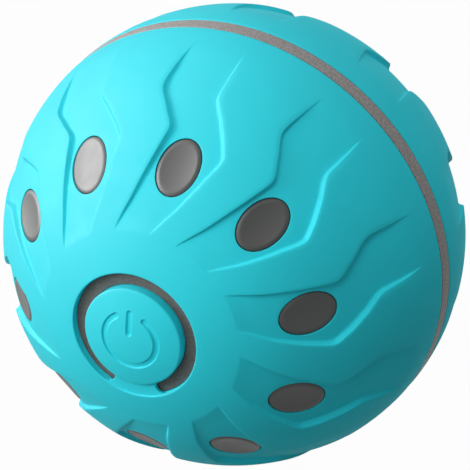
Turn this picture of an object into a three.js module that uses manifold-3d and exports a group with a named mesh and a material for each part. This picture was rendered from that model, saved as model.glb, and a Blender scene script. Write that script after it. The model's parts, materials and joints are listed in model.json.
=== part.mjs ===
// A motor-driven pet ball: two moulded silicone covers over a grey two-part shell, with a push pad
// at the front pole, and inside it a board, a cell and a motor that spins a heavy half disc.
// Lengths are millimetres and angles are degrees. +Z is up and the push pad faces -Y.
import * as THREE from "three";
import { mergeVertices } from "three/addons/utils/BufferGeometryUtils.js";
import Module from "manifold-3d";

const wasm = await Module();
wasm.setup();

// The ball and its two covers
const ballRadius = 40;
const coverThickness = 1.5;
const skinGap = 0.35; // between the silicone and what it covers
const grooveWidth = 3.2; // the open groove between the covers
const coverEdgeRound = 0.35;
const slotRadius = 11.4; // the round opening in the front cover
const ballSegments = 20;
const leastStepShare = 0.25;
const ballStep = 18; // polar angle between two rows of a plain ball's grid

// The sunk channels in each cover
const channelCount = 10;
const channelDepth = 1;
const channelSideRun = 1.15; // width of a channel's sloping side where it is deepest
const channelSideLeast = 0.35; // width of that side where the channel runs out
const capRowShare = 0.6; // polar angle of the grid's first row, against that of the channels' tips

// The oval windows, one in each channel
const firstWindowAngle = 6.5; // about the pole axis, from +Z towards +X
const windowPolarAngle = 44.7;
const windowHalfLength = 5.15;
const windowHalfWidth = 3.63;
const windowGap = 0.3;
const windowSink = 0.95; // from the ball's outside to the flat of a window
const windowSegments = 5;

// The push pad, its web and the pocket behind it
const padRadius = 9;
const padCrownRise = 0.4; // how far the crown of the pad stands out of the ball
const padRimHeight = 1.65;
const padEdgeRound = 0.4;
const domeStep = 4; // polar angle between two rings of the pad's dome
const webHalfAngle = 23.6;
const webThickness = 0.6;
const webFloorGap = 0.3;
const pocketClearance = 0.3;
const pocketDepth = 1.55; // from the collar's flat to the pocket's floor
const collarSink = 2.95; // from the ball's outside at the pole to the flat of the collar

// The two halves of the shell
const shellWall = 2;
const poleFloorThickness = 2;
const flangeWidth = 2.3;
const flangeHeight = 3;
const flangeTaper = 3;
const seamGap = 0.3;
const rebateDepth = 1;

// The band that shows between the covers
const bandSink = 0.55;
const bandRibThickness = 1.2;
const fitGap = 0.3; // between pieces that seat on each other

// Case screws and their posts
const caseScrewCount = 4;
const casePostInset = 6.15; // from the shell's inside to the circle that the posts stand on
const caseScrewRadius = 1.15;
const caseScrewHeadRadius = 2.3;
const caseScrewHeadHeight = 1.6;
const caseScrewLength = 14;
const screwHoleGap = 0.2;
const frontPostRadius = 3.2;
const rearPostWall = 1.6;
const rearPostFloor = 4.6; // material under the head of a case screw
const counterboreGap = 0.4;

// The plunger between the pad and the switch
const plungerHeadRadius = 3.2;
const plungerGap = 0.2; // from the pad to the plunger
const plungerHeadThickness = 0.8;
const plungerStemRadius = 2;

// The circuit board and what stands on it
const boardEdgeGap = 3.865; // from the shell's inside to the board's edge
const boardThickness = 1.6;
const boardFlatInset = 3.5; // how much the board's flat side takes off its round
const boardScrewInset = 3.4; // from the board's edge to its screws
const boardScrewCount = 3;
const boardPostRadius = 2.2;
const smallScrewRadius = 0.9;
const smallScrewHeadRadius = 1.8;
const smallScrewHeadHeight = 1.2;
const smallScrewLength = 6;
const seatGap = 0.15; // between flat faces that seat on each other
const switchSize = 6.2;
const switchHeight = 3.4;
const switchStemRadius = 1.7;
const switchStemOut = 0.9;
const switchStemSunk = 1.2;
const switchWellSpare = 0.6;
const switchDrop = 1.95; // from the floor of the pocket's back to the switch
const chipSize = 7;
const chipHeight = 1.2;
const sensorRadius = 1.6;
const sensorLength = 7;
const connectorWidth = 7.6;
const connectorDepth = 4.5;
const connectorHeight = 3.4;
const connectorWall = 0.7;
const connectorFloor = 1.5;
const boardPartInset = 9.5; // from the board's edge to the chip, the sensor and the connector
const chipAngle = 255;
const sensorAngle = 0;
const connectorAngle = 180;

// The chassis that the case screws clamp in the seam
const chassisThickness = 2;
const chassisInset = 4.5; // from the case screws' circle to the edge of the round plate
const chassisEarRadius = 3.2;

// The motor
const motorWidth = 15.4;
const motorThickness = 12;
const motorLength = 18;
const motorCapLength = 2;
const motorClipGap = 0.125; // from the motor's flat to the clip on the output shaft
const motorBossRadius = 3;
const motorBossLength = 1.4;
const motorShaftRadius = 1;
const motorShaftSunk = 6;
const motorCheekThickness = 1.6;
const motorCheekHeight = 8;
const motorCheekLength = 13;
const motorScrewSpacing = 12;
const terminalWidth = 2;
const terminalThickness = 0.5;
const terminalLength = 2.4;
const terminalSpacing = 7.7;

// The cell, its saddles and its strap
const cellRadius = 8.3;
const cellLength = 34;
const cellNubRadius = 3;
const cellNubLength = 1;
const cellDrop = 10.5; // its axis below the ball's middle
const cellBoardGap = 5.1; // between the cell and the back of the board
const saddleThickness = 2;
const saddleSpacing = 28;
const saddleWall = 2;
const cellStopThickness = 1.6;
const strapWidth = 8;
const strapOffset = -7.5; // its middle along the cell, clear of the shaft
const strapThickness = 0.8;
const strapFootLength = 4;

// The gear train
const toothModule = 1;
const pinionTeeth = 8;
const idlerLargeTeeth = 18;
const idlerSmallTeeth = 8;
const outputTeeth = 20;
const toothPlay = 0.22; // slack between teeth, measured along the pitch circle
const toothTipShare = 0.88;
const toothRootShare = 1.25;
const pressureAngle = 20;
const gearWidth = 2.4;
const pinionWidth = 3.2;
const gearSideGap = 1.6;
const layerGap = 0.6;
const idlerPinRadius = 1;
const outputShaftRadius = 1.5;
const runningGap = 0.12;

// The gear cover, the bushes and the shaft's clip
const gearCoverThickness = 1.6;
const gearCoverRound = 4;
const standoffRadius = 2.5;
const bushWall = 1.2;
const bushFlangeWidth = 1.2;
const bushFlangeThickness = 0.7;
const clipThickness = 0.6;
const clipWidth = 1.3;
const clipMouthAngle = 80;

// The spinning weight
const weightPostGap = 3.7; // from the weight's rim to the rear posts
const weightHubRadius = 6;
const weightRailGap = 3.05; // from the weight to the charging board's rails
const weightScrewHeadRadius = 3;
const weightScrewHeadHeight = 1.6;
const weightScrewLength = 5;

// The charging socket and its board, behind the rear cover
const socketWidth = 8.9;
const socketHeight = 3.2;
const socketLength = 7.3;
const socketWall = 0.35;
const socketTongueThickness = 0.7;
const socketTongueWidth = 6.6;
const socketSink = 0.6; // from the shell's outside to the socket's mouth
const chargeBoardWidth = 16;
const chargeBoardThickness = 1.2;
const chargeBoardLength = 7;
const chargeBoardSink = 1.2; // from the shell's inside to the board's end
const railThickness = 2;
const railLip = 1.4;
const railGrip = 1; // how far the board reaches into a rail

const screwHeadTopShare = 0.7; // width of a screw head's top against its foot
const screwSegments = 6;
const holeSegments = 8;
const boreSegments = 12;
const cellSegments = 16;
const barSegments = 20;
const ringSegments = 32;
const earCurve = 3; // points on each arc of an outline, from here to the weight's
const canCurve = 4;
const smallCurve = 5;
const gearCurve = 6;
const weightCurve = 8;
const plateCurve = 12;
const overrun = 1; // how far a cutting shape passes the face that it cuts
const weldDistance = 1e-4;
const quarterTurn = Math.PI / 2;

// The sides of a channel at polar angles from the pole, as angles about the pole axis from the
// middle of its window, and its depth there as a share of the greatest depth.
const channelPath = [
  { polar: 27.2, left: -21.8, right: -1.7, depthShare: 0 },
  { polar: 35, left: -14, right: 6.4, depthShare: 0.5 },
  { polar: 45, left: -9, right: 10.9, depthShare: 0.85 },
  { polar: 50.5, left: -7.4, right: 12.2, depthShare: 0.97 },
  { polar: 53.5, left: -7, right: 10.2, depthShare: 1 },
  { polar: 59, left: -10.5, right: 5.8, depthShare: 0.97 },
  { polar: 66, left: -14.6, right: 0.95, depthShare: 0.8 },
  { polar: 73, left: -13.9, right: 0.8, depthShare: 0.45 },
  { polar: 80, left: -13, right: 0.5, depthShare: 0 },
];

const radians = (degrees) => THREE.MathUtils.degToRad(degrees);
const depthOnBall = (radius, offAxis) => Math.sqrt(radius * radius - offAxis * offAxis);

// Sizes that follow from those above
const coverInside = ballRadius - coverThickness;
const shellRadius = coverInside - skinGap;
const shellInside = shellRadius - shellWall;
const pitchAngle = 360 / channelCount;
const collarHeight = ballRadius - collarSink;
const pocketFloor = collarHeight - pocketDepth;
const padUnderside = collarHeight + webFloorGap;
const pocketRadius = padRadius + pocketClearance;
const collarRadius = slotRadius - fitGap;
const hingeRadius = slotRadius - fitGap;
const plungerBottom = padUnderside - plungerGap - plungerHeadThickness;
const poleFloorInside = pocketFloor - poleFloorThickness;
const switchFront = poleFloorInside - switchDrop;
const boardFront = switchFront - switchHeight - seatGap;
const boardBack = boardFront - boardThickness;
const plungerEnd = switchFront + switchStemOut + seatGap;
const boardRadius = depthOnBall(shellInside, boardFront) - boardEdgeGap;
const boardFlat = boardRadius - boardFlatInset;
const boardScrewCircle = boardRadius - boardScrewInset;
const boardPartCircle = boardRadius - boardPartInset;
const caseScrewCircle = shellInside - casePostInset;
const counterboreRadius = caseScrewHeadRadius + counterboreGap;
const rearPostRadius = counterboreRadius + rearPostWall;
const chassisRadius = caseScrewCircle - chassisInset;
const chassisFront = chassisThickness / 2;
const postEnd = chassisFront + fitGap;
const motorFront = chassisFront + seatGap;
const cellDepth = boardBack - cellBoardGap - cellRadius;
const clipInside = outputShaftRadius + seatGap / 2;
const clipRadius = clipInside + clipWidth;
const motorHeight = motorThickness / 2 + clipRadius + motorClipGap; // of its shaft
const pinionStart = chassisFront + gearSideGap;
const idlerStart = pinionStart + layerGap / 2;
const outputStart = idlerStart + gearWidth + layerGap * 2;
const gearCoverFront = outputStart + gearWidth + gearSideGap;
const gearCoverBack = gearCoverFront + gearCoverThickness;
const weightStart = gearCoverBack + bushFlangeThickness + gearSideGap;
const railEnd = shellInside - socketLength - railLip;
const weightEnd = railEnd - weightRailGap;
const weightRadius = caseScrewCircle - rearPostRadius - weightPostGap;
const headSeat = rearPostFloor + postEnd;
const bushRadius = outputShaftRadius + runningGap + bushWall;
const rebate = bandRibThickness / 2 + fitGap; // the seam's step for the band's rib
const rimBlend = flangeHeight + flangeTaper;

const windowIndexes = Array.from({ length: channelCount }, (_, i) => i);

// A closed three.js geometry as a solid that can be joined and cut.
function solid(geometry) {
  const bare = geometry.clone();
  bare.deleteAttribute("normal");
  bare.deleteAttribute("uv");
  const merged = mergeVertices(bare, weldDistance);
  const index = merged.index.array;
  const vertProperties = new Float32Array(merged.attributes.position.array);
  const make = (turned) => {
    const corners = [];
    for (let i = 0; i < index.length; i += 3) {
      const [a, b, c] = [index[i], index[i + 1], index[i + 2]];
      if (a !== b && b !== c && c !== a) corners.push(...(turned ? [a, c, b] : [a, b, c]));
    }
    return new wasm.Manifold(
      new wasm.Mesh({ numProp: 3, vertProperties, triVerts: new Uint32Array(corners) }),
    );
  };
  const made = make(false);
  return made.volume() < 0 ? make(true) : made;
}

function geometryOf(made) {
  const mesh = made.getMesh();
  const geometry = new THREE.BufferGeometry();
  geometry.setAttribute("position", new THREE.BufferAttribute(mesh.vertProperties, 3));
  geometry.setIndex(new THREE.BufferAttribute(mesh.triVerts, 1));
  geometry.computeVertexNormals();
  return geometry;
}

const joined = (first, ...others) => others.reduce((sum, other) => sum.add(other), first);
const cut = (first, ...tools) => tools.reduce((rest, tool) => rest.subtract(tool), first);

// A round bar along Y.
function bar(radius, from, to, segments = barSegments) {
  const geometry = new THREE.CylinderGeometry(radius, radius, to - from, segments);
  return geometry.translate(0, (from + to) / 2, 0);
}

// A round bar along Y that stands at (x, z).
const barAt = (x, z, radius, from, to, segments) =>
  solid(bar(radius, from, to, segments).translate(x, 0, z));

// A closed outline of [radius, y] corners, turned about Y.
function turnedSolid(corners, segments = ringSegments) {
  const points = [...corners, corners[0]].map(([r, y]) => new THREE.Vector2(r, y));
  return solid(new THREE.LatheGeometry(points, segments));
}

// An outline in X and Z, carried along Y.
function slab(shape, from, to, curveSegments) {
  const settings = { depth: to - from, curveSegments, bevelEnabled: false };
  const geometry = new THREE.ExtrudeGeometry(shape, settings);
  return solid(geometry.rotateX(quarterTurn).translate(0, to, 0));
}

// A box given by its two corners.
function block(low, high) {
  const size = high.map((value, i) => value - low[i]);
  const geometry = new THREE.BoxGeometry(...size);
  return solid(geometry.translate(...low.map((value, i) => value + size[i] / 2)));
}

// The outline of a belt round equal circles at the given centres, which run anticlockwise.
function beltShape(centres, radius) {
  const shape = new THREE.Shape();
  centres.forEach(([x, z], i) => {
    const [lastX, lastZ] = centres.at(i - 1);
    const [nextX, nextZ] = centres[(i + 1) % centres.length];
    const start = Math.atan2(z - lastZ, x - lastX) - quarterTurn;
    const end = Math.atan2(nextZ - z, nextX - x) - quarterTurn;
    shape.absarc(x, z, radius, start, end, false);
  });
  return shape;
}

const circleShape = (radius) => new THREE.Shape().absarc(0, 0, radius, 0, Math.PI * 2, false);

// The point at a polar angle from the front pole and an angle about the pole axis.
function pointOnBall(polar, around, radius) {
  const [a, b] = [radians(polar), radians(around)];
  return new THREE.Vector3(
    radius * Math.sin(a) * Math.sin(b),
    -radius * Math.cos(a),
    radius * Math.sin(a) * Math.cos(b),
  );
}

// The [x, z] places of a ring of equal pieces about the pole axis.
function ringPlaces(count, radius, firstAngle) {
  const places = [];
  for (let i = 0; i < count; i++) {
    const angle = radians(firstAngle + (360 / count) * i);
    places.push([radius * Math.cos(angle), radius * Math.sin(angle)]);
  }
  return places;
}

// Corners along a round of a ball's section, between two distances along Y. Between its ends it
// keeps to the same polar angles on every ball, so that two balls keep an even gap.
function ballArc(radius, from, to, step = ballStep) {
  const [start, end] = [from, to].map((y) => THREE.MathUtils.radToDeg(Math.acos(y / radius)));
  const angles = [start];
  const [low, high] = [Math.min(start, end), Math.max(start, end)];
  const between = [];
  for (let angle = 0; angle < high; angle += step) {
    if (angle > low + step * leastStepShare) between.push(angle);
  }
  angles.push(...(start < end ? between : between.reverse()), end);
  return angles.map((angle) => {
    const turn = radians(angle);
    return [radius * Math.sin(turn), radius * Math.cos(turn)];
  });
}

// The six columns of one channel and the land beside it, at one row of the cover's grid.
function coverRow(row) {
  const perMillimetre = 180 / Math.PI / (ballRadius * Math.sin(radians(row.polar)));
  const run = Math.max(channelSideLeast, channelSideRun * row.depthShare) * perMillimetre;
  const [leftFoot, rightFoot] = [row.left + run / 2, row.right - run / 2];
  const [leftTop, rightTop] = [row.left - run / 2, row.right + run / 2];
  const depth = channelDepth * row.depthShare;
  return [
    { around: leftTop, depth: 0 },
    { around: leftFoot, depth },
    { around: (leftFoot + rightFoot) / 2, depth },
    { around: rightFoot, depth },
    { around: rightTop, depth: 0 },
    { around: (rightTop + leftTop + pitchAngle) / 2, depth: 0 },
  ];
}

// Faces between two rings of corners. The far ring has a whole number of corners for each near one.
function ringFaces(near, far) {
  const share = far.length / near.length;
  return near.flatMap((corner, j) => {
    const fan = Array.from({ length: share }, (_, i) => {
      const k = j * share + i;
      return [corner, far[(k + 1) % far.length], far[k]];
    });
    const next = near[(j + 1) % near.length];
    return [...fan.flat(), corner, next, far[((j + 1) * share) % far.length]];
  });
}

// The outside of the front cover as one closed lump, from the pole to the equator groove.
function coverLump() {
  const edge = grooveWidth / 2;
  const polarAt = (offAxis, radius) => THREE.MathUtils.radToDeg(Math.acos(offAxis / radius));
  const [first, last] = [channelPath[0], channelPath.at(-1)];
  const rows = [
    ...channelPath,
    { ...last, polar: polarAt(edge + coverEdgeRound, ballRadius) },
    { ...last, polar: polarAt(edge, ballRadius - coverEdgeRound), sunk: coverEdgeRound },
  ];
  const positions = [];
  const ring = (row, columns) =>
    windowIndexes.flatMap((i) =>
      columns.map(({ around, depth }) => {
        const angle = firstWindowAngle + pitchAngle * i + around;
        const radius = ballRadius - depth - (row.sunk ?? 0);
        positions.push(...pointOnBall(row.polar, angle, radius));
        return positions.length / 3 - 1;
      }),
    );
  const capRow = { ...first, polar: first.polar * capRowShare };
  const capColumns = coverRow(first).filter((_, i) => i % 3 === 0);
  const rings = [ring(capRow, capColumns), ...rows.map((row) => ring(row, coverRow(row)))];
  const pole = positions.length / 3;
  positions.push(0, -ballRadius, 0, 0, -edge, 0);
  const faces = ringFaces([pole], rings[0]);
  for (let i = 0; i < rings.length - 1; i++) faces.push(...ringFaces(rings[i], rings[i + 1]));
  faces.push(...ringFaces([pole + 1], rings.at(-1).reverse()));
  const geometry = new THREE.BufferGeometry();
  geometry.setAttribute("position", new THREE.Float32BufferAttribute(positions, 3));
  geometry.setIndex(faces);
  return solid(geometry);
}

// An oval bar that points out of the ball at one window.
function ovalBar(index, halfLength, halfWidth, from, to) {
  const shape = new THREE.Shape();
  shape.absellipse(0, 0, halfWidth, halfLength, 0, Math.PI * 2, false);
  const settings = { depth: to - from, curveSegments: windowSegments, bevelEnabled: false };
  const geometry = new THREE.ExtrudeGeometry(shape, settings);
  const around = firstWindowAngle + pitchAngle * index;
  const outward = pointOnBall(windowPolarAngle, around, 1);
  const along = pointOnBall(windowPolarAngle + 90, around, 1);
  const across = new THREE.Vector3().crossVectors(along, outward);
  const turn = new THREE.Matrix4().makeBasis(across, along, outward);
  return solid(geometry.translate(0, 0, from).applyMatrix4(turn));
}

const windowHoles = () =>
  windowIndexes.map((i) =>
    ovalBar(i, windowHalfLength, windowHalfWidth, shellInside, ballRadius + overrun),
  );

// The raised oval of the shell that fills a window.
const windowBosses = () =>
  windowIndexes.map((i) => {
    const from = shellInside + shellWall / 2;
    const to = ballRadius - windowSink;
    const [length, width] = [windowHalfLength - windowGap, windowHalfWidth - windowGap];
    return ovalBar(i, length, width, from, to);
  });

function coverInsideBall() {
  const arc = ballArc(coverInside, coverInside, -overrun);
  const corners = arc.map(([r, y]) => [r, -y]);
  return turnedSolid([...corners, [0, overrun]], ballSegments);
}

function coverSolid() {
  return cut(coverLump(), coverInsideBall(), ...windowHoles());
}

const mirrored = (made) => made.mirror([0, 1, 0]);

function frontCover() {
  const rim = depthOnBall(ballRadius, slotRadius);
  const flare = slotRadius + coverEdgeRound;
  const opening = turnedSolid(
    [
      [0, -ballRadius - overrun],
      [flare + overrun, -ballRadius - overrun],
      [flare, -rim - coverEdgeRound / 2],
      [slotRadius, -rim + coverEdgeRound],
      [slotRadius, -shellInside + overrun],
      [0, -shellInside + overrun],
    ],
    ballSegments,
  );
  return cut(coverSolid(), opening);
}

const rearCover = () => mirrored(coverSolid());

// The pad is a shallow dome that hangs on the cover by one web at its lower edge.
function buttonPad() {
  const crown = ballRadius + padCrownRise;
  const rim = padUnderside + padRimHeight;
  const flatRadius = padRadius - padEdgeRound;
  const rise = crown - rim;
  const domeRadius = (flatRadius * flatRadius + rise * rise) / (2 * rise);
  const domeCentre = crown - domeRadius;
  const dome = ballArc(domeRadius, domeRadius, depthOnBall(domeRadius, flatRadius), domeStep);
  const corners = dome.map(([r, y]) => [r, -(y + domeCentre)]);
  corners.push([padRadius, -rim + padEdgeRound], [padRadius, -padUnderside], [0, -padUnderside]);
  return joined(turnedSolid(corners, ballSegments), padWeb());
}

function padWeb() {
  const slotMiddle = (padRadius + slotRadius) / 2;
  const slotEnd = (slotRadius - padRadius) / 2;
  const endAngle = radians(webHalfAngle) + Math.asin(slotEnd / slotMiddle);
  const shape = new THREE.Shape();
  const down = -quarterTurn;
  shape.absarc(0, 0, hingeRadius, down - endAngle, down + endAngle, false);
  shape.absarc(0, 0, padRadius - padEdgeRound, down + endAngle, down - endAngle, true);
  const [outer, inner] = [-padUnderside - webThickness, -padUnderside];
  const ends = [-1, 1].map((side) => {
    const x = slotMiddle * Math.sin(endAngle) * side;
    const z = -slotMiddle * Math.cos(endAngle);
    return barAt(x, z, slotEnd, outer - overrun, inner + overrun, boreSegments);
  });
  return cut(slab(shape, outer, inner, smallCurve), ...ends);
}

const insideShell = () => {
  const radius = shellRadius - shellWall / 2;
  return turnedSolid(ballArc(radius, radius, -radius), ballSegments);
};

const casePlaces = () => ringPlaces(caseScrewCount, caseScrewCircle, 45);
const boardPlaces = () => ringPlaces(boardScrewCount, boardScrewCircle, 90);

// Corners of a shell's rim, from its outside round the seam to its inside. Y is positive here.
function rimCorners() {
  const face = seamGap / 2;
  const inner = shellInside - flangeWidth;
  const step = shellRadius - rebateDepth;
  return [
    [depthOnBall(shellRadius, rebate), rebate],
    [step, rebate],
    [step, face],
    [inner, face],
    [inner, flangeHeight],
    [depthOnBall(shellInside, rimBlend), rimBlend],
  ];
}

function frontShell() {
  const collarFoot = depthOnBall(shellRadius, collarRadius);
  const plungerHole = plungerStemRadius + fitGap;
  const corners = [
    [plungerHole, pocketFloor],
    [pocketRadius, pocketFloor],
    [pocketRadius, collarHeight],
    [collarRadius, collarHeight],
    ...ballArc(shellRadius, collarFoot, rebate).slice(0, -1),
    ...rimCorners(),
    ...ballArc(shellInside, rimBlend, poleFloorInside).slice(1),
    [plungerHole, poleFloorInside],
  ];
  const skin = turnedSolid(corners.map(([r, y]) => [r, -y]), ballSegments);
  const casePosts = casePlaces().map(([x, z]) =>
    barAt(x, z, frontPostRadius, -shellRadius, -postEnd, holeSegments),
  );
  const boardPosts = boardPlaces().map(([x, z]) =>
    barAt(x, z, boardPostRadius, -shellRadius, -boardFront - seatGap, holeSegments),
  );
  const posts = joined(...casePosts, ...boardPosts).intersect(insideShell());
  const casePilots = casePlaces().map(([x, z]) => {
    const depth = headSeat - caseScrewLength - overrun;
    return barAt(x, z, caseScrewRadius + seatGap, depth, 0, holeSegments);
  });
  const boardPilots = boardPlaces().map(([x, z]) => {
    const depth = boardBack - seatGap - smallScrewLength;
    return barAt(x, z, smallScrewRadius + seatGap, -boardBack - smallScrewLength, -depth, holeSegments);
  });
  const body = joined(skin, posts, ...windowBosses());
  return cut(body, ...casePilots, ...boardPilots);
}

function rearShell() {
  const corners = [
    ...ballArc(shellRadius, shellRadius, rebate).slice(0, -1),
    ...rimCorners(),
    ...ballArc(shellInside, rimBlend, shellInside).slice(1),
  ];
  const skin = turnedSolid(corners, ballSegments);
  const posts = casePlaces().map(([x, z]) =>
    barAt(x, z, rearPostRadius, postEnd, shellRadius, holeSegments),
  );
  const inside = joined(...posts, ...chargeRails()).intersect(insideShell());
  const body = joined(skin, inside, ...windowBosses().map(mirrored));
  const bores = casePlaces().map(([x, z]) =>
    barAt(x, z, counterboreRadius, headSeat, ballRadius, holeSegments),
  );
  const holes = casePlaces().map(([x, z]) =>
    barAt(x, z, caseScrewRadius + screwHoleGap, 0, ballRadius, holeSegments),
  );
  return cut(body, ...bores, ...holes, socketHole());
}

// The obround outline of the charging socket, grown by a gap.
function socketShape(grow) {
  const radius = socketHeight / 2 + grow;
  const half = socketWidth / 2 - socketHeight / 2;
  const shape = new THREE.Shape();
  shape.absarc(half, 0, radius, -quarterTurn, quarterTurn, false);
  shape.absarc(-half, 0, radius, quarterTurn, -quarterTurn, false);
  return shape;
}

const socketHole = () => slab(socketShape(fitGap), shellInside - overrun, ballRadius, smallCurve);

// Two grooved rails in the rear shell that hold the charging board by its sides.
function chargeRails() {
  const top = -socketHeight / 2 - seatGap;
  const boardMiddle = top - chargeBoardThickness / 2;
  const inner = chargeBoardWidth / 2 - railGrip;
  const outer = chargeBoardWidth / 2 + fitGap + railThickness;
  const half = chargeBoardThickness / 2 + seatGap;
  return [-1, 1].map((side) => {
    const box = (near, far, start, low, high) =>
      block(
        [Math.min(near * side, far * side), start, low],
        [Math.max(near * side, far * side), shellRadius, high],
      );
    const [low, high] = [boardMiddle - half - railLip, boardMiddle + half + railLip];
    const rail = box(inner, outer, railEnd, low, high);
    const reach = inner + railGrip + fitGap;
    const groove = box(0, reach, railEnd - overrun, boardMiddle - half, boardMiddle + half);
    return cut(rail, groove);
  });
}

function chargeSocket() {
  const mouth = shellRadius - socketSink;
  const back = mouth - socketLength;
  const outside = slab(socketShape(0), back, mouth, smallCurve);
  const hollow = slab(socketShape(-socketWall), back + socketWall, mouth + overrun, smallCurve);
  const tongue = block(
    [-socketTongueWidth / 2, back, -socketTongueThickness / 2],
    [socketTongueWidth / 2, mouth - socketWall * 2, socketTongueThickness / 2],
  );
  return joined(cut(outside, hollow), tongue);
}

function chargeBoard() {
  const top = -socketHeight / 2 - seatGap;
  const end = depthOnBall(shellInside, chargeBoardWidth / 2) - chargeBoardSink;
  return block(
    [-chargeBoardWidth / 2, end - chargeBoardLength, top - chargeBoardThickness],
    [chargeBoardWidth / 2, end, top],
  );
}

// The band stands proud of the shell between the covers, and its rib is clamped in the seam.
function equatorBand() {
  const outer = ballRadius - bandSink;
  const inner = shellRadius + skinGap;
  const ribInner = shellRadius - rebateDepth + fitGap;
  const half = grooveWidth / 2 - fitGap;
  const rib = bandRibThickness / 2;
  return turnedSolid(
    [
      [ribInner, -rib],
      [inner, -rib],
      [inner, -half],
      [outer, -half],
      [outer, half],
      [inner, half],
      [inner, rib],
      [ribInner, rib],
    ],
    ballSegments,
  );
}

// A screw whose head sits at y = 0 and whose shank points along -Y.
function screw(radius, headRadius, headHeight, length) {
  return turnedSolid(
    [
      [0, -length],
      [radius, -length + radius],
      [radius, 0],
      [headRadius, 0],
      [headRadius * screwHeadTopShare, headHeight],
      [0, headHeight],
    ],
    screwSegments,
  );
}

function buttonPlunger() {
  return turnedSolid(
    [
      [0, -plungerBottom - plungerHeadThickness],
      [plungerHeadRadius, -plungerBottom - plungerHeadThickness],
      [plungerHeadRadius, -plungerBottom],
      [plungerStemRadius, -plungerBottom],
      [plungerStemRadius, -plungerEnd],
      [0, -plungerEnd],
    ],
    boreSegments,
  );
}

function circuitBoard() {
  const half = Math.acos(boardFlat / boardRadius);
  const shape = new THREE.Shape();
  shape.absarc(0, 0, boardRadius, -quarterTurn + half, quarterTurn * 3 - half, false);
  const holes = boardPlaces().map(([x, z]) =>
    barAt(x, z, smallScrewRadius + screwHoleGap, -boardFront - overrun, -boardBack + overrun, holeSegments),
  );
  return cut(slab(shape, -boardFront, -boardBack, plateCurve), ...holes);
}

function switchBody() {
  const [front, back] = [-switchFront, -boardFront - seatGap];
  const half = switchSize / 2;
  const well = barAt(0, 0, switchStemRadius + seatGap, front - overrun, front + wellDepth(), boreSegments);
  return cut(block([-half, front, -half], [half, back, half]), well);
}

const wellDepth = () => switchStemSunk + switchWellSpare;

const switchStem = () =>
  barAt(0, 0, switchStemRadius, -switchFront - switchStemOut, -switchFront + switchStemSunk, boreSegments);

function onBoardBack(width, height, depth) {
  const back = -boardBack + seatGap;
  return block([-width / 2, back, -height / 2], [width / 2, back + depth, height / 2]);
}

function batteryConnector() {
  const body = onBoardBack(connectorWidth, connectorHeight, connectorDepth);
  const back = -boardBack + seatGap;
  const halfWidth = connectorWidth / 2 - connectorWall;
  const halfHeight = connectorHeight / 2 - connectorWall;
  const hollow = block(
    [-halfWidth, back + connectorFloor, -halfHeight],
    [halfWidth, back + connectorDepth + overrun, halfHeight],
  );
  return cut(body, hollow);
}

// The chassis is a round plate with four ears, cheeks for the motor and saddles for the cell.
function chassis() {
  const [front, back] = [-chassisFront, chassisFront];
  const ears = [casePlaces().filter((_, i) => i % 2 === 0), casePlaces().filter((_, i) => i % 2)];
  const plate = joined(
    slab(circleShape(chassisRadius), front, back, plateCurve),
    ...ears.map((pair) => slab(beltShape(pair, chassisEarRadius), front, back, earCurve)),
  );
  const hole = (x, z, radius, segments = holeSegments) =>
    barAt(x, z, radius, -postEnd, postEnd, segments);
  const pilotEnd = gearCoverBack - smallScrewLength;
  const openings = [
    ...casePlaces().map(([x, z]) => hole(x, z, caseScrewRadius + screwHoleGap)),
    hole(0, 0, bushRadius + seatGap, boreSegments),
    hole(0, motorHeight, motorBossRadius + seatGap, boreSegments),
    hole(...idlerPlace(), idlerPinRadius + seatGap),
    ...motorScrewPlaces().map(([x, z]) => hole(x, z, smallScrewRadius + screwHoleGap)),
    ...strapScrewPlaces().map(([x, z]) => hole(x, z, smallScrewRadius + screwHoleGap)),
    ...standoffPlaces().map(([x, z]) =>
      barAt(x, z, smallScrewRadius + seatGap, pilotEnd, gearCoverBack, holeSegments),
    ),
  ];
  const standoffs = standoffPlaces().map(([x, z]) =>
    barAt(x, z, standoffRadius, 0, gearCoverFront - seatGap, holeSegments),
  );
  return cut(joined(plate, ...motorCheeks(), ...cellSaddles(), ...standoffs), ...openings);
}

function motorCheeks() {
  const near = motorWidth / 2 + fitGap;
  const far = near + motorCheekThickness;
  const [low, high] = [motorHeight - motorCheekHeight / 2, motorHeight + motorCheekHeight / 2];
  const end = -chassisFront - motorCheekLength;
  return [
    block([-far, end, low], [-near, 0, high]),
    block([near, end, low], [far, 0, high]),
  ];
}

// Saddles that take the cell's round, and a stop at each of its ends.
function cellSaddles() {
  const radius = cellRadius + fitGap;
  const reach = radius + saddleWall;
  const side = new THREE.Shape();
  side.moveTo(-reach, 0);
  side.lineTo(-reach, -cellDepth);
  side.lineTo(-radius, -cellDepth);
  side.absarc(0, -cellDepth, radius, Math.PI, 0, true);
  side.lineTo(reach, -cellDepth);
  side.lineTo(reach, 0);
  side.closePath();
  const saddle = (x, thickness) => {
    const settings = { depth: thickness, curveSegments: smallCurve, bevelEnabled: false };
    const geometry = new THREE.ExtrudeGeometry(side, settings);
    const turn = new THREE.Matrix4().makeBasis(
      new THREE.Vector3(0, 0, 1),
      new THREE.Vector3(0, 1, 0),
      new THREE.Vector3(-1, 0, 0),
    );
    geometry.applyMatrix4(turn);
    return solid(geometry.translate(x + thickness / 2, 0, -cellDrop));
  };
  const end = cellLength / 2 + fitGap;
  const stopReach = cellRadius + saddleWall;
  const stops = [-1, 1].map((way) => {
    const near = end * way;
    const far = (end + cellStopThickness) * way;
    return block(
      [Math.min(near, far), -cellDepth, -cellDrop - stopReach / 2],
      [Math.max(near, far), 0, -cellDrop + stopReach / 2],
    );
  });
  return [
    saddle(-saddleSpacing / 2, saddleThickness),
    saddle(saddleSpacing / 2, saddleThickness),
    ...stops,
  ];
}

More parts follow.
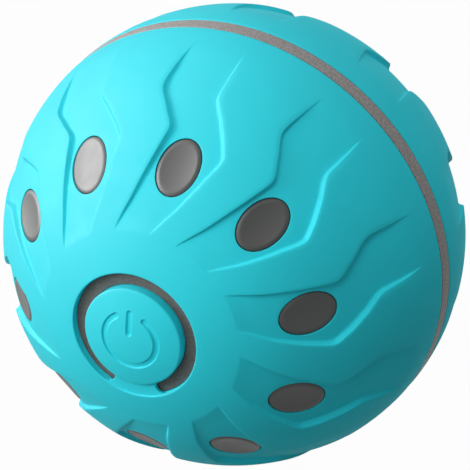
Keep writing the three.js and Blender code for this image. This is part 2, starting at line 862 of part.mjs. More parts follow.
// The cell lies along X.
function batteryCell() {
  const half = cellLength / 2;
  const edge = cellNubLength / 2;
  const cell = new THREE.LatheGeometry(
    [
      [0, -half],
      [cellRadius - edge, -half],
      [cellRadius, -half + edge],
      [cellRadius, half - cellNubLength - edge],
      [cellRadius - edge, half - cellNubLength],
      [cellNubRadius, half - cellNubLength],
      [cellNubRadius, half],
      [0, half],
    ].map(([r, y]) => new THREE.Vector2(r, y)),
    cellSegments,
  );
  return solid(cell.rotateZ(-quarterTurn));
}

// The strap goes round the front of the cell, and its two feet are screwed to the chassis.
function cellStrap() {
  const inner = cellRadius + fitGap;
  const outer = inner + strapThickness;
  const foot = outer + strapFootLength;
  const [seat, top] = [-chassisFront - seatGap, -chassisFront - seatGap - strapThickness];
  const shape = new THREE.Shape();
  shape.moveTo(foot, seat);
  shape.lineTo(inner, seat);
  shape.lineTo(inner, -cellDepth);
  shape.absarc(0, -cellDepth, inner, 0, -Math.PI, true);
  shape.lineTo(-inner, seat);
  shape.lineTo(-foot, seat);
  shape.lineTo(-foot, top);
  shape.lineTo(-outer, top);
  shape.lineTo(-outer, -cellDepth);
  shape.absarc(0, -cellDepth, outer, -Math.PI, 0, false);
  shape.lineTo(outer, top);
  shape.lineTo(foot, top);
  shape.closePath();
  const settings = { depth: strapWidth, curveSegments: smallCurve, bevelEnabled: false };
  const geometry = new THREE.ExtrudeGeometry(shape, settings);
  const turn = new THREE.Matrix4().makeBasis(
    new THREE.Vector3(0, 0, 1),
    new THREE.Vector3(0, 1, 0),
    new THREE.Vector3(-1, 0, 0),
  );
  geometry.applyMatrix4(turn).translate(strapOffset + strapWidth / 2, 0, -cellDrop);
  const holes = strapScrewPlaces().map(([x, z]) =>
    barAt(x, z, smallScrewRadius + screwHoleGap, top - overrun, seat + overrun, holeSegments),
  );
  return cut(solid(geometry), ...holes);
}

const strapScrewPlaces = () => {
  const reach = cellRadius + fitGap + strapThickness + strapFootLength / 2;
  return [-1, 1].map((side) => [strapOffset, -cellDrop + reach * side]);
};

const motorScrewPlaces = () =>
  [-1, 1].map((side) => [(motorScrewSpacing / 2) * side, motorHeight]);

// The motor's can is a round with two flats.
function canShape() {
  const radius = motorWidth / 2;
  const flat = Math.asin(motorThickness / 2 / radius);
  const shape = new THREE.Shape();
  shape.absarc(0, 0, radius, -flat, flat, false);
  shape.absarc(0, 0, radius, Math.PI - flat, Math.PI + flat, false);
  return shape;
}

function motorCan() {
  const back = -motorFront;
  const boss = barAt(0, 0, motorBossRadius, back - overrun, back + motorBossLength, boreSegments);
  const bore = barAt(
    0,
    0,
    motorShaftRadius + runningGap,
    back - motorShaftSunk - fitGap,
    back + motorBossLength + overrun,
    boreSegments,
  );
  const pilots = [-1, 1].map((side) =>
    barAt(
      (motorScrewSpacing / 2) * side,
      0,
      smallScrewRadius + seatGap,
      back - smallScrewLength,
      back + overrun,
      holeSegments,
    ),
  );
  const can = slab(canShape(), back - motorLength, back, canCurve);
  return cut(joined(can, boss), bore, ...pilots);
}

function motorCap() {
  const back = -motorFront - motorLength - seatGap;
  const front = back - motorCapLength;
  const terminals = [-1, 1].map((side) => {
    const middle = (terminalSpacing / 2) * side;
    return block(
      [middle - terminalWidth / 2, front - terminalLength, -terminalThickness / 2],
      [middle + terminalWidth / 2, back - motorCapLength / 2, terminalThickness / 2],
    );
  });
  return joined(slab(canShape(), front, back, canCurve), ...terminals);
}

const motorShaft = () => {
  const start = -motorFront - motorShaftSunk;
  return barAt(0, 0, motorShaftRadius, start, pinionStart + pinionWidth, boreSegments);
};

const pitchRadius = (teeth) => (teeth * toothModule) / 2;
const tipRadius = (teeth) => pitchRadius(teeth) + toothModule * toothTipShare;
const rootRadius = (teeth) => pitchRadius(teeth) - toothModule * toothRootShare;

// The outline of a spur gear. A flank runs straight between two points of its involute, and one
// tooth points at the given angle in X and Z.
function gearShape(teeth, boreRadius, toothAngle) {
  const pitch = pitchRadius(teeth);
  const base = pitch * Math.cos(radians(pressureAngle));
  const involute = (angle) => Math.tan(angle) - angle;
  const atPitch = quarterTurn / teeth - toothPlay / 4 / pitch + involute(radians(pressureAngle));
  const halfAngle = (radius) => atPitch - involute(Math.acos(Math.min(1, base / radius)));
  const shape = new THREE.Shape();
  const flank = [rootRadius(teeth), tipRadius(teeth)];
  for (let i = 0; i < teeth; i++) {
    const middle = toothAngle + (Math.PI * 2 * i) / teeth;
    const rise = flank.map((r) => [r, middle - halfAngle(r)]);
    const fall = flank.map((r) => [r, middle + halfAngle(r)]).reverse();
    for (const [r, angle] of [...rise, ...fall]) {
      const [x, z] = [r * Math.cos(angle), r * Math.sin(angle)];
      if (i === 0 && r === flank[0] && angle < middle) shape.moveTo(x, z);
      else shape.lineTo(x, z);
    }
  }
  shape.closePath();
  const bore = new THREE.Path().absarc(0, 0, boreRadius, 0, Math.PI * 2, true);
  shape.holes.push(bore);
  return shape;
}

// The idler stands where its two centre distances meet.
function idlerPlace() {
  const toOutput = pitchRadius(idlerSmallTeeth) + pitchRadius(outputTeeth);
  const toPinion = pitchRadius(idlerLargeTeeth) + pitchRadius(pinionTeeth);
  const z = (toOutput ** 2 - toPinion ** 2 + motorHeight ** 2) / (2 * motorHeight);
  return [depthOnBall(toOutput, z), z];
}

const angleTo = ([fromX, fromZ], [toX, toZ]) => Math.atan2(toZ - fromZ, toX - fromX);
const halfTooth = (teeth) => Math.PI / teeth;

function motorPinion() {
  const mesh = angleTo([0, motorHeight], idlerPlace());
  const shape = gearShape(pinionTeeth, motorShaftRadius + seatGap / 2, mesh + halfTooth(pinionTeeth));
  return slab(shape, pinionStart, pinionStart + pinionWidth, gearCurve);
}

function idlerGear() {
  const bore = idlerPinRadius + runningGap;
  const large = gearShape(idlerLargeTeeth, bore, angleTo(idlerPlace(), [0, motorHeight]));
  const towardsOutput = angleTo(idlerPlace(), [0, 0]) + halfTooth(idlerSmallTeeth);
  const small = gearShape(idlerSmallTeeth, bore, towardsOutput);
  const web = idlerStart + gearWidth;
  return joined(
    slab(large, idlerStart, web, gearCurve),
    slab(small, web - overrun, outputStart + gearWidth + layerGap, gearCurve),
  );
}

function outputGear() {
  const bore = outputShaftRadius + seatGap / 2;
  const mesh = angleTo([0, 0], idlerPlace());
  const shape = gearShape(outputTeeth, bore, mesh);
  const hubRadius = outputShaftRadius + bushWall + seatGap;
  const hub = turnedSolid(
    [
      [bore, outputStart + gearWidth / 2],
      [hubRadius, outputStart + gearWidth / 2],
      [hubRadius, gearCoverFront - bushFlangeThickness],
      [bore, gearCoverFront - bushFlangeThickness],
    ],
    boreSegments,
  );
  return joined(slab(shape, outputStart, outputStart + gearWidth, gearCurve), hub);
}

const idlerPin = () => barAt(0, 0, idlerPinRadius, -chassisFront, gearCoverBack, boreSegments);

// Three posts on the chassis carry the gear cover, clear of every gear.
function standoffPlaces() {
  const clearOf = (teeth) => tipRadius(teeth) + standoffRadius + gearSideGap;
  const [idlerX, idlerZ] = idlerPlace();
  return [
    [-clearOf(outputTeeth), 0],
    [idlerX, idlerZ - clearOf(idlerLargeTeeth)],
    [0, motorHeight + clearOf(pinionTeeth)],
  ];
}

function gearCover() {
  const [left, low, high] = standoffPlaces();
  const shape = beltShape([left, low, idlerPlace(), high], gearCoverRound);
  const plate = slab(shape, gearCoverFront, gearCoverBack, canCurve);
  const hole = (x, z, radius, segments) =>
    barAt(x, z, radius, gearCoverFront - overrun, gearCoverBack + overrun, segments);
  return cut(
    plate,
    ...standoffPlaces().map(([x, z]) => hole(x, z, smallScrewRadius + screwHoleGap, holeSegments)),
    hole(0, 0, bushRadius + seatGap, boreSegments),
    hole(...idlerPlace(), idlerPinRadius + seatGap, holeSegments),
  );
}

// A flanged sleeve that fills a plate from one side to the other. Its flange lies past the end.
function bush(from, to) {
  const bore = outputShaftRadius + runningGap;
  const flange = bushRadius + bushFlangeWidth;
  return turnedSolid(
    [
      [bore, from],
      [bushRadius, from],
      [bushRadius, to],
      [flange, to],
      [flange, to + bushFlangeThickness],
      [bore, to + bushFlangeThickness],
    ],
    boreSegments,
  );
}

const outputShaft = () => {
  const end = weightEnd - seatGap;
  const start = -chassisFront - seatGap - clipThickness - layerGap;
  const pilotStart = end - weightScrewLength;
  const pilot = barAt(0, 0, smallScrewRadius + seatGap, pilotStart, ballRadius, holeSegments);
  return cut(barAt(0, 0, outputShaftRadius, start, end, boreSegments), pilot);
};

// A spring clip that keeps the shaft from sliding back.
function shaftClip() {
  const half = radians(clipMouthAngle / 2);
  const shape = new THREE.Shape();
  shape.absarc(0, 0, clipRadius, half, Math.PI * 2 - half, false);
  shape.absarc(0, 0, clipInside, Math.PI * 2 - half, half, true);
  const back = -chassisFront - seatGap;
  return slab(shape, back - clipThickness, back, gearCurve);
}

// A half disc on a hub. It hangs below the shaft at rest.
function eccentricWeight() {
  const shape = new THREE.Shape();
  shape.absarc(0, 0, weightRadius, Math.PI, Math.PI * 2, false);
  shape.absarc(0, 0, weightHubRadius, 0, Math.PI, false);
  const bore = barAt(
    0,
    0,
    outputShaftRadius + seatGap / 2,
    weightStart - overrun,
    weightEnd + overrun,
    boreSegments,
  );
  return cut(slab(shape, weightStart, weightEnd, weightCurve), bore);
}

const finish = (color, roughness, metalness = 0) =>
  new THREE.MeshStandardMaterial({ color, roughness, metalness });

const silicone = () => finish(0x2fc9d6, 0.55);
const greyPlastic = () => finish(0x6f7272, 0.5);
const blackPlastic = () => finish(0x1c1d1f, 0.5);
const whitePlastic = () => finish(0xe6e3da, 0.4);
const steel = () => finish(0xb9bcc0, 0.35, 1);
const brass = () => finish(0xc7a24a, 0.35, 1);

// Adds one named piece, a solid or a geometry, at a place in its group.
function add(group, name, made, material, place = [0, 0, 0]) {
  const geometry = made.isBufferGeometry ? made : geometryOf(made);
  const mesh = new THREE.Mesh(geometry, material);
  mesh.name = name;
  mesh.position.set(...place);
  group.add(mesh);
}

function addCovers(ball) {
  const covers = new THREE.Group();
  add(covers, "front_cover", frontCover(), silicone());
  add(covers, "rear_cover", rearCover(), silicone());
  add(covers, "button_pad", buttonPad(), silicone());
  ball.add(covers);
}

function addShell(ball) {
  const shell = new THREE.Group();
  add(shell, "front_shell", frontShell(), greyPlastic());
  add(shell, "rear_shell", rearShell(), greyPlastic());
  add(shell, "equator_band", equatorBand(), finish(0x8a8d8d, 0.75));
  casePlaces().forEach(([x, z], i) => {
    const made = screw(
      caseScrewRadius,
      caseScrewHeadRadius,
      caseScrewHeadHeight,
      caseScrewLength,
    );
    add(shell, "case_screw_" + (i + 1), made, steel(), [x, headSeat + seatGap, z]);
  });
  ball.add(shell);
}

const smallScrew = () =>
  screw(smallScrewRadius, smallScrewHeadRadius, smallScrewHeadHeight, smallScrewLength);

function addControls(ball) {
  const controls = new THREE.Group();
  add(controls, "button_plunger", buttonPlunger(), whitePlastic());
  add(controls, "circuit_board", circuitBoard(), finish(0x1f6b3a, 0.45));
  add(controls, "switch_body", switchBody(), blackPlastic());
  add(controls, "switch_stem", switchStem(), finish(0xb8322a, 0.45));
  const [chip, sensor, plug] = [chipAngle, sensorAngle, connectorAngle].map(boardPartPlace);
  add(controls, "control_chip", onBoardBack(chipSize, chipSize, chipHeight), blackPlastic(), chip);
  const tilt = solid(bar(sensorRadius, -sensorLength / 2, sensorLength / 2, boreSegments));
  const sensorLift = -boardBack + seatGap + sensorRadius;
  const sensorGeometry = geometryOf(tilt).rotateZ(quarterTurn);
  add(controls, "motion_sensor", sensorGeometry, brass(), [sensor[0], sensorLift, sensor[2]]);
  add(controls, "battery_connector", batteryConnector(), whitePlastic(), plug);
  boardPlaces().forEach(([x, z], i) => {
    const place = [x, -boardBack + seatGap, z];
    add(controls, "board_screw_" + (i + 1), smallScrew(), steel(), place);
  });
  ball.add(controls);
}

function boardPartPlace(angle) {
  const [[x, z]] = ringPlaces(1, boardPartCircle, angle);
  return [x, 0, z];
}

function addPower(ball) {
  const power = new THREE.Group();
  add(power, "chassis", chassis(), blackPlastic());
  const cell = [0, -cellDepth, -cellDrop];
  add(power, "battery_cell", batteryCell(), finish(0x2b5fa8, 0.35), cell);
  add(power, "battery_strap", cellStrap(), steel());
  strapScrewPlaces().forEach(([x, z], i) => {
    const geometry = geometryOf(smallScrew()).rotateX(Math.PI);
    const place = [x, -chassisFront - seatGap * 2 - strapThickness, z];
    add(power, "strap_screw_" + (i + 1), geometry, steel(), place);
  });
  add(power, "charge_socket", chargeSocket(), steel());
  add(power, "charge_board", chargeBoard(), finish(0x1f6b3a, 0.45));
  ball.add(power);
}

function addDrive(ball) {
  const motor = new THREE.Group();
  motor.position.set(0, 0, motorHeight);
  add(motor, "motor_can", motorCan(), steel());
  add(motor, "motor_cap", motorCap(), whitePlastic());
  add(motor, "motor_shaft", motorShaft(), steel());
  add(motor, "motor_pinion", motorPinion(), brass());
  motorScrewPlaces().forEach(([x], i) => {
    const place = [x, chassisFront + seatGap, 0];
    add(motor, "motor_screw_" + (i + 1), smallScrew(), steel(), place);
  });
  const drive = new THREE.Group();
  const [idlerX, idlerZ] = idlerPlace();
  add(drive, "idler_pin", idlerPin(), steel(), [idlerX, 0, idlerZ]);
  add(drive, "idler_gear", idlerGear(), whitePlastic(), [idlerX, 0, idlerZ]);
  add(drive, "output_gear", outputGear(), whitePlastic());
  add(drive, "output_shaft", outputShaft(), steel());
  add(drive, "shaft_clip", shaftClip(), steel());
  add(drive, "front_bush", bush(-chassisFront, chassisFront + seatGap), brass());
  add(drive, "rear_bush", bush(gearCoverFront, gearCoverBack + seatGap), brass());
  add(drive, "gear_cover", gearCover(), blackPlastic());
  standoffPlaces().forEach(([x, z], i) => {
    const place = [x, gearCoverBack + seatGap, z];
    add(drive, "cover_screw_" + (i + 1), smallScrew(), steel(), place);
  });
  add(drive, "eccentric_weight", eccentricWeight(), finish(0x8e8f92, 0.45, 1));
  const weightScrew = screw(
    smallScrewRadius,
    weightScrewHeadRadius,
    weightScrewHeadHeight,
    weightScrewLength - layerGap,
  );
  add(drive, "weight_screw", weightScrew, steel(), [0, weightEnd + seatGap, 0]);
  ball.add(motor, drive);
}

const ball = new THREE.Group();
addCovers(ball);
addShell(ball);
addControls(ball);
addPower(ball);
addDrive(ball);

export default ball;
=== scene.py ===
import json
import math

import bpy
import numpy as np
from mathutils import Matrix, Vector


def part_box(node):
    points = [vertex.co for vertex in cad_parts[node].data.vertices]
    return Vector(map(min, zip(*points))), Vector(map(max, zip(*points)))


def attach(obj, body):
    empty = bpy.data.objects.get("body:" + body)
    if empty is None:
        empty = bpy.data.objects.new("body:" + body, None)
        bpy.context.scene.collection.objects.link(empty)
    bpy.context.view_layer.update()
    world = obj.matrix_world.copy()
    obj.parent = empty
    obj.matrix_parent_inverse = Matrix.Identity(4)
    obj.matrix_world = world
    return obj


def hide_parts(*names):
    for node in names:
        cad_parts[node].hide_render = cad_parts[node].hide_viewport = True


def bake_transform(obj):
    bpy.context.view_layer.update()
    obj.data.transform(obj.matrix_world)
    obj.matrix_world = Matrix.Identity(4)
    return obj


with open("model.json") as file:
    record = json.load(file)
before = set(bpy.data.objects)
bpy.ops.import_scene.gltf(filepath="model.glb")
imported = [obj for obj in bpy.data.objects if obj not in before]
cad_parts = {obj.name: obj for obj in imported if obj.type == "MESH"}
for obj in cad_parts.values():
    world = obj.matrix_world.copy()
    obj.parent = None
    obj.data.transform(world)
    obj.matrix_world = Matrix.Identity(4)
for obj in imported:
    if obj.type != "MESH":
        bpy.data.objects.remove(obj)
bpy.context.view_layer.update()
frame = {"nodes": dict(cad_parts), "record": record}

# A motor-driven pet ball, dressed around its CAD frame. Shapes are worked out in millimetres, with the
# ball's centre as the origin, the push pad facing -Y and +Z up.
mm = 0.001
nodes = frame["nodes"]
print("frame loaded:", len(nodes), "nodes")


# The camera stands where the photograph was taken from
photoCamera = {
    "azimuth": 25.9,
    "elevation": 29.3,
    "distance": 0.796,
    "lens": 352.1,
    "sensor": 36,
    "shift": 0.6 / 470,
    "clip": (0.01, 20),
}


def directionTo(azimuth, elevation):
    a, e = math.radians(azimuth), math.radians(elevation)
    return Vector((math.sin(a) * math.cos(e), -math.cos(a) * math.cos(e), math.sin(e)))


def aimed(thing, spot):
    # stands at the spot and faces the ball's centre
    thing.location = spot
    thing.rotation_euler = (-Vector(spot)).to_track_quat("-Z", "Y").to_euler()
    bpy.context.scene.collection.objects.link(thing)


cameraData = bpy.data.cameras.new("camera")
cameraData.lens = photoCamera["lens"]
cameraData.sensor_width = photoCamera["sensor"]
cameraData.shift_x = photoCamera["shift"]
cameraData.shift_y = -photoCamera["shift"]
cameraData.clip_start, cameraData.clip_end = photoCamera["clip"]
camera = bpy.data.objects.new("camera", cameraData)
aimed(camera, directionTo(photoCamera["azimuth"], photoCamera["elevation"]) * photoCamera["distance"])
bpy.context.scene.camera = camera
bpy.context.scene.view_settings.view_transform = "Standard"
print("camera set")


# Node helpers that every finish below uses
def addNode(tree, kind, inputs={}, **settings):
    # each input goes by its name or number, and takes a value or another node's output
    node = tree.nodes.new(kind)
    for name, value in settings.items():
        setattr(node, name, value)
    for name, value in inputs.items():
        if isinstance(value, bpy.types.NodeSocket):
            tree.links.new(value, node.inputs[name])
        else:
            node.inputs[name].default_value = value
    return node


def place(tree, stretch=(1, 1, 1)):
    # the piece's own place in metres, drawn out along an axis for a brushed or a moulded grain
    where = addNode(tree, "ShaderNodeTexCoord").outputs["Object"]
    return addNode(tree, "ShaderNodeMapping", {"Vector": where, "Scale": stretch}).outputs["Vector"]


def noise(tree, where, grainSize, detail=2.0, rough=0.5):
    # grainSize is the width of one light or dark patch, in millimetres
    inputs = {"Vector": where, "Scale": 0.5 / (grainSize * mm), "Detail": detail, "Roughness": rough}
    return addNode(tree, "ShaderNodeTexNoise", inputs).outputs["Fac"]


def ranged(tree, value, low, high, fromLow=0.3, fromHigh=0.7):
    inputs = {"Value": value, "From Min": fromLow, "From Max": fromHigh, "To Min": low, "To Max": high}
    return addNode(tree, "ShaderNodeMapRange", inputs).outputs["Result"]


def blended(tree, share, first, second):
    # the mix node's sockets 0, 6 and 7 take the share and the two colours, and output 2 gives the mixed one
    first, second = [(*colour, 1) if isinstance(colour, tuple) else colour for colour in (first, second)]
    return addNode(tree, "ShaderNodeMix", {0: share, 6: first, 7: second}, data_type="RGBA").outputs[2]


def worked(tree, operation, first, second=0.0):
    return addNode(tree, "ShaderNodeMath", {0: first, 1: second}, operation=operation).outputs[0]


def newFinish(name, roughness, metallic=0.0, specular=0.5):
    made = bpy.data.materials.new(name)
    made.use_nodes = True
    shader = made.node_tree.nodes["Principled BSDF"]
    shader.inputs["Roughness"].default_value = roughness
    shader.inputs["Metallic"].default_value = metallic
    shader.inputs["Specular IOR Level"].default_value = specular
    return made, made.node_tree, shader


def joined(tree, shader, colour, roughness, height, depth):
    # what every finish ends in: its colour, its gloss and the relief of its skin, depth in millimetres
    tree.links.new(colour, shader.inputs["Base Color"])
    tree.links.new(roughness, shader.inputs["Roughness"])
    relief = addNode(tree, "ShaderNodeBump", {"Height": height, "Distance": depth * mm, "Strength": 1.0})
    tree.links.new(relief.outputs["Normal"], shader.inputs["Normal"])


def shaded(colour, share):
    return tuple(channel * share for channel in colour)


# Soft matte silicone: even aqua, with a faint cloudiness and a very fine tooth
siliconeLook = {
    "colour": (0.026, 0.73, 0.84),
    "cloud": 0.95,
    "cloudSize": 9,
    "roughness": (0.66, 0.72),
    "glossSize": 1.5,
    "specular": 0.2,
    "toothSize": 0.09,
    "toothDepth": 0.002,
}


def siliconeFinish():
    look = siliconeLook
    made, tree, shader = newFinish("silicone", 0.5, specular=look["specular"])
    where = place(tree)
    cloud = ranged(tree, noise(tree, where, look["cloudSize"], 3), 0, 1)
    colour = blended(tree, cloud, shaded(look["colour"], look["cloud"]), look["colour"])
    gloss = ranged(tree, noise(tree, where, look["glossSize"]), *look["roughness"])
    joined(tree, shader, colour, gloss, noise(tree, where, look["toothSize"]), look["toothDepth"])
    return made


# Satin grey shell: smooth in the windows, blasted on the collar and in the pocket round the push pad
shellLook = {
    "colour": (0.065, 0.065, 0.063),
    "cloud": 0.94,
    "cloudSize": 6,
    "collarColour": (0.155, 0.142, 0.13),
    "collarDark": 0.55,
    "specular": 0.42,
    "collarReach": 11.5,
    "collarAhead": 33,
    "roughness": (0.5, 0.56),
    "glossSize": 1.2,
    "collarRoughness": 0.7,
    "speckleSize": 0.2,
    "speckleDepth": 0.02,
    "plainSpeckle": 0.05,
}


def shellFinish():
    look = shellLook
    made, tree, shader = newFinish("shell_plastic", 0.4, specular=look["specular"])
    where = place(tree)
    # the collar is 1 near the pole axis in front, and 0 elsewhere
    parts = addNode(tree, "ShaderNodeSeparateXYZ", {"Vector": where}).outputs
    squares = [worked(tree, "POWER", parts[axis], 2) for axis in ("X", "Z")]
    within = worked(tree, "LESS_THAN", worked(tree, "ADD", *squares), (look["collarReach"] * mm) ** 2)
    collar = worked(tree, "MULTIPLY", within, worked(tree, "LESS_THAN", parts["Y"], -look["collarAhead"] * mm))
    speckle = noise(tree, where, look["speckleSize"], 3, 0.7)
    cloud = ranged(tree, noise(tree, where, look["cloudSize"], 3), 0, 1)
    plain = blended(tree, cloud, shaded(look["colour"], look["cloud"]), look["colour"])
    dark = shaded(look["collarColour"], look["collarDark"])
    blasted = blended(tree, ranged(tree, speckle, 0, 1), dark, look["collarColour"])
    satin = ranged(tree, noise(tree, where, look["glossSize"]), *look["roughness"])
    extra = worked(tree, "MULTIPLY", collar, look["collarRoughness"] - look["roughness"][0])
    grown = worked(tree, "MULTIPLY", collar, 1 - look["plainSpeckle"])
    height = worked(tree, "MULTIPLY", speckle, worked(tree, "ADD", grown, look["plainSpeckle"]))
    colour = blended(tree, collar, plain, blasted)
    joined(tree, shader, colour, worked(tree, "ADD", satin, extra), height, look["speckleDepth"])
    return made


# Blasted band: grey with a fine, sparkling speckle
bandLook = {
    "colour": (0.36, 0.325, 0.31),
    "dark": 0.42,
    "grain": 0.2,
    "fineGrain": 0.08,
    "fineShare": 0.4,
    "contrast": (0.38, 0.62),
    "roughness": (0.5, 0.75),
    "depth": 0.05,
}


def bandFinish():
    look = bandLook
    made, tree, shader = newFinish("band_plastic", 0.6)
    where = place(tree)
    coarse = worked(tree, "MULTIPLY", noise(tree, where, look["grain"], 3, 0.75), 1 - look["fineShare"])
    fine = noise(tree, where, look["fineGrain"], 2, 0.7)
    speckle = worked(tree, "ADD", coarse, worked(tree, "MULTIPLY", fine, look["fineShare"]))
    share = ranged(tree, speckle, 0, 1, *look["contrast"])
    colour = blended(tree, share, shaded(look["colour"], look["dark"]), look["colour"])
    joined(tree, shader, colour, ranged(tree, fine, *look["roughness"]), speckle, look["depth"])
    return made


# Moulded plastics inside: two near tones, an uneven gloss and a fine mould texture
plasticLooks = {
    "black_plastic": {
        "colour": (0.012, 0.012, 0.014), "tone": 1.7, "roughness": (0.42, 0.58), "grain": 0.12, "depth": 0.006,
    },
    "white_plastic": {
        "colour": (0.78, 0.76, 0.68), "tone": 0.93, "roughness": (0.30, 0.42), "grain": 0.3, "depth": 0.002,
    },
    "red_plastic": {
        "colour": (0.52, 0.03, 0.02), "tone": 0.88, "roughness": (0.32, 0.42), "grain": 0.25, "depth": 0.002,
    },
}
plasticPatches = {"colour": 3, "gloss": 0.8}


def plasticFinish(name):
    look = plasticLooks[name]
    made, tree, shader = newFinish(name, 0.4)
    where = place(tree)
    share = ranged(tree, noise(tree, where, plasticPatches["colour"], 4), 0, 1)
    colour = blended(tree, share, look["colour"], shaded(look["colour"], look["tone"]))
    gloss = ranged(tree, noise(tree, where, plasticPatches["gloss"]), *look["roughness"])
    joined(tree, shader, colour, gloss, noise(tree, where, look["grain"], 2, 0.6), look["depth"])
    return made


# Green boards: solder mask over raised copper tracks
boardLook = {
    "mask": (0.008, 0.16, 0.05),
    "overCopper": (0.02, 0.30, 0.09),
    "trackPitch": 1.3,
    "trackFold": 0.16,
    "trackEdge": (0.07, 0.085),
    "trackDepth": 0.03,
    "roughness": (0.28, 0.4),
    "glossSize": 0.6,
}


def boardFinish():
    look = boardLook
    made, tree, shader = newFinish("board_laminate", 0.3)
    where = place(tree)
    inputs = {"Vector": where, "Scale": 0.25 / (look["trackPitch"] * mm)}
    cells = addNode(tree, "ShaderNodeTexVoronoi", inputs, distance="CHEBYCHEV")
    folded = worked(tree, "PINGPONG", cells.outputs["Distance"], look["trackFold"])
    track = ranged(tree, folded, 0, 1, *look["trackEdge"])
    gloss = ranged(tree, noise(tree, where, look["glossSize"], 3), *look["roughness"])
    joined(tree, shader, blended(tree, track, look["mask"], look["overCopper"]), gloss, track, look["trackDepth"])
    return made


# The cell's shrink sleeve: glossy, with soft puckers that run round it and grow towards its ends
sleeveLook = {
    "colour": (0.02, 0.10, 0.36),
    "tone": 1.5,
    "toneSize": 4,
    "roughness": (0.16, 0.3),
    "glossSize": 1,
    "pucker": 0.06,
    "puckerSize": 1.4,
    "puckerStretch": (3, 1, 1),
    "puckerLeast": 0.15,
    "puckerReach": (8, 17),
}


def sleeveFinish():
    look = sleeveLook
    made, tree, shader = newFinish("cell_sleeve", 0.2)
    where = place(tree)
    share = ranged(tree, noise(tree, where, look["toneSize"], 3), 0, 1)
    colour = blended(tree, share, look["colour"], shaded(look["colour"], look["tone"]))
    gloss = ranged(tree, noise(tree, where, look["glossSize"], 3), *look["roughness"])
    x = addNode(tree, "ShaderNodeSeparateXYZ", {"Vector": where}).outputs["X"]
    reach = [size * mm for size in look["puckerReach"]]
    nearEnds = ranged(tree, worked(tree, "ABSOLUTE", x), look["puckerLeast"], 1, *reach)
    puckers = noise(tree, place(tree, look["puckerStretch"]), look["puckerSize"], 3)
    joined(tree, shader, colour, gloss, worked(tree, "MULTIPLY", puckers, nearEnds), look["pucker"])
    return made


# Bare metals: brushed along one axis, or cast with a pitted skin
metalLooks = {
    "steel": {
        "colour": (0.56, 0.57, 0.58), "tone": 0.8, "roughness": (0.22, 0.4),
        "grain": 0.08, "stretch": (1, 0.06, 1), "depth": 0.004,
    },
    "brass": {
        "colour": (0.66, 0.46, 0.16), "tone": 0.82, "roughness": (0.2, 0.36),
        "grain": 0.1, "stretch": (1, 0.1, 1), "depth": 0.003,
    },
    "weight_metal": {
        "colour": (0.2, 0.2, 0.205), "tone": 0.55, "roughness": (0.45, 0.68),
        "grain": 0.35, "stretch": (1, 1, 1), "depth": 0.05,
    },
}
metalStainSize = 3


def metalFinish(name):
    look = metalLooks[name]
    made, tree, shader = newFinish(name, 0.3, metallic=1.0)
    grain = noise(tree, place(tree, look["stretch"]), look["grain"], 4, 0.65)
    stain = ranged(tree, noise(tree, place(tree), metalStainSize, 4), 0, 1)
    colour = blended(tree, stain, look["colour"], shaded(look["colour"], look["tone"]))
    joined(tree, shader, colour, ranged(tree, grain, *look["roughness"]), grain, look["depth"])
    return made


finishes = {"silicone": siliconeFinish(), "shell_plastic": shellFinish(), "band_plastic": bandFinish()}
finishes.update({name: plasticFinish(name) for name in plasticLooks})
finishes.update({"board_laminate": boardFinish(), "cell_sleeve": sleeveFinish()})
finishes.update({name: metalFinish(name) for name in metalLooks})
for part in frame["record"]["subparts"]:
    shown = nodes[part["node"]]
    shown.data.materials.clear()
    shown.data.materials.append(finishes[part["material_slot"]])
print("finishes made:", len(finishes))


# Shape helpers, in millimetres
def ballPoint(polar, around, radius):
    # polar counts from the front pole, around from +Z towards +X, both in degrees
    a, b = np.radians(polar), np.radians(around)
    x, y, z = radius * np.sin(a) * np.sin(b), -radius * np.cos(a), radius * np.sin(a) * np.cos(b)
    return np.stack(np.broadcast_arrays(x, y, z), -1)


def ringAt(radius, y, around):
    # a ring of corners about the pole axis; around is in radians
    return np.stack([radius * np.sin(around), np.full(len(around), y), radius * np.cos(around)], -1)


def turnedBy(corners, degrees):
    # the same corners further round the pole axis
    c, s = math.cos(math.radians(degrees)), math.sin(math.radians(degrees))
    x, y, z = corners[:, 0], corners[:, 1], corners[:, 2]
    return np.stack([x * c + z * s, y, z * c - x * s], -1)


def mirrored(corners, faces):
    return np.asarray(corners) * (1, -1, 1), [face[::-1] for face in faces]


def smoothStep(share):
    share = np.clip(share, 0, 1)
    return share * share * (3 - 2 * share)


def curveThrough(xs, ys, at, flatEnd=False):
    # a smooth curve through the points, which never swings past them
    xs, ys = np.asarray(xs, float), np.asarray(ys, float)
    steps = np.diff(xs)
    slopes = np.diff(ys) / steps
    tangents = np.zeros(len(xs))
    for i in range(1, len(xs) - 1):
        before, after = slopes[i - 1], slopes[i]
        if before * after > 0:
            wa, wb = 2 * steps[i] + steps[i - 1], steps[i] + 2 * steps[i - 1]
            tangents[i] = (wa + wb) / (wa / before + wb / after)
    tangents[0] = slopes[0]
    tangents[-1] = 0 if flatEnd else slopes[-1]
    at = np.clip(at, xs[0], xs[-1])
    i = np.clip(np.searchsorted(xs, at, side="right") - 1, 0, len(xs) - 2)
    t = (at - xs[i]) / steps[i]
    return (
        (2 * t**3 - 3 * t**2 + 1) * ys[i]
        + (t**3 - 2 * t**2 + t) * steps[i] * tangents[i]
        + (3 * t**2 - 2 * t**3) * ys[i + 1]
        + (t**3 - t**2) * steps[i] * tangents[i + 1]
    )


def meshObject(name, corners, faces):
    mesh = bpy.data.meshes.new(name)
    mesh.from_pydata((np.asarray(corners) * mm).tolist(), [], faces)
    mesh.update()
    mesh.polygons.foreach_set("use_smooth", np.ones(len(mesh.polygons), bool))
    shape = bpy.data.objects.new(name, mesh)
    bpy.context.scene.collection.objects.link(shape)
    return shape


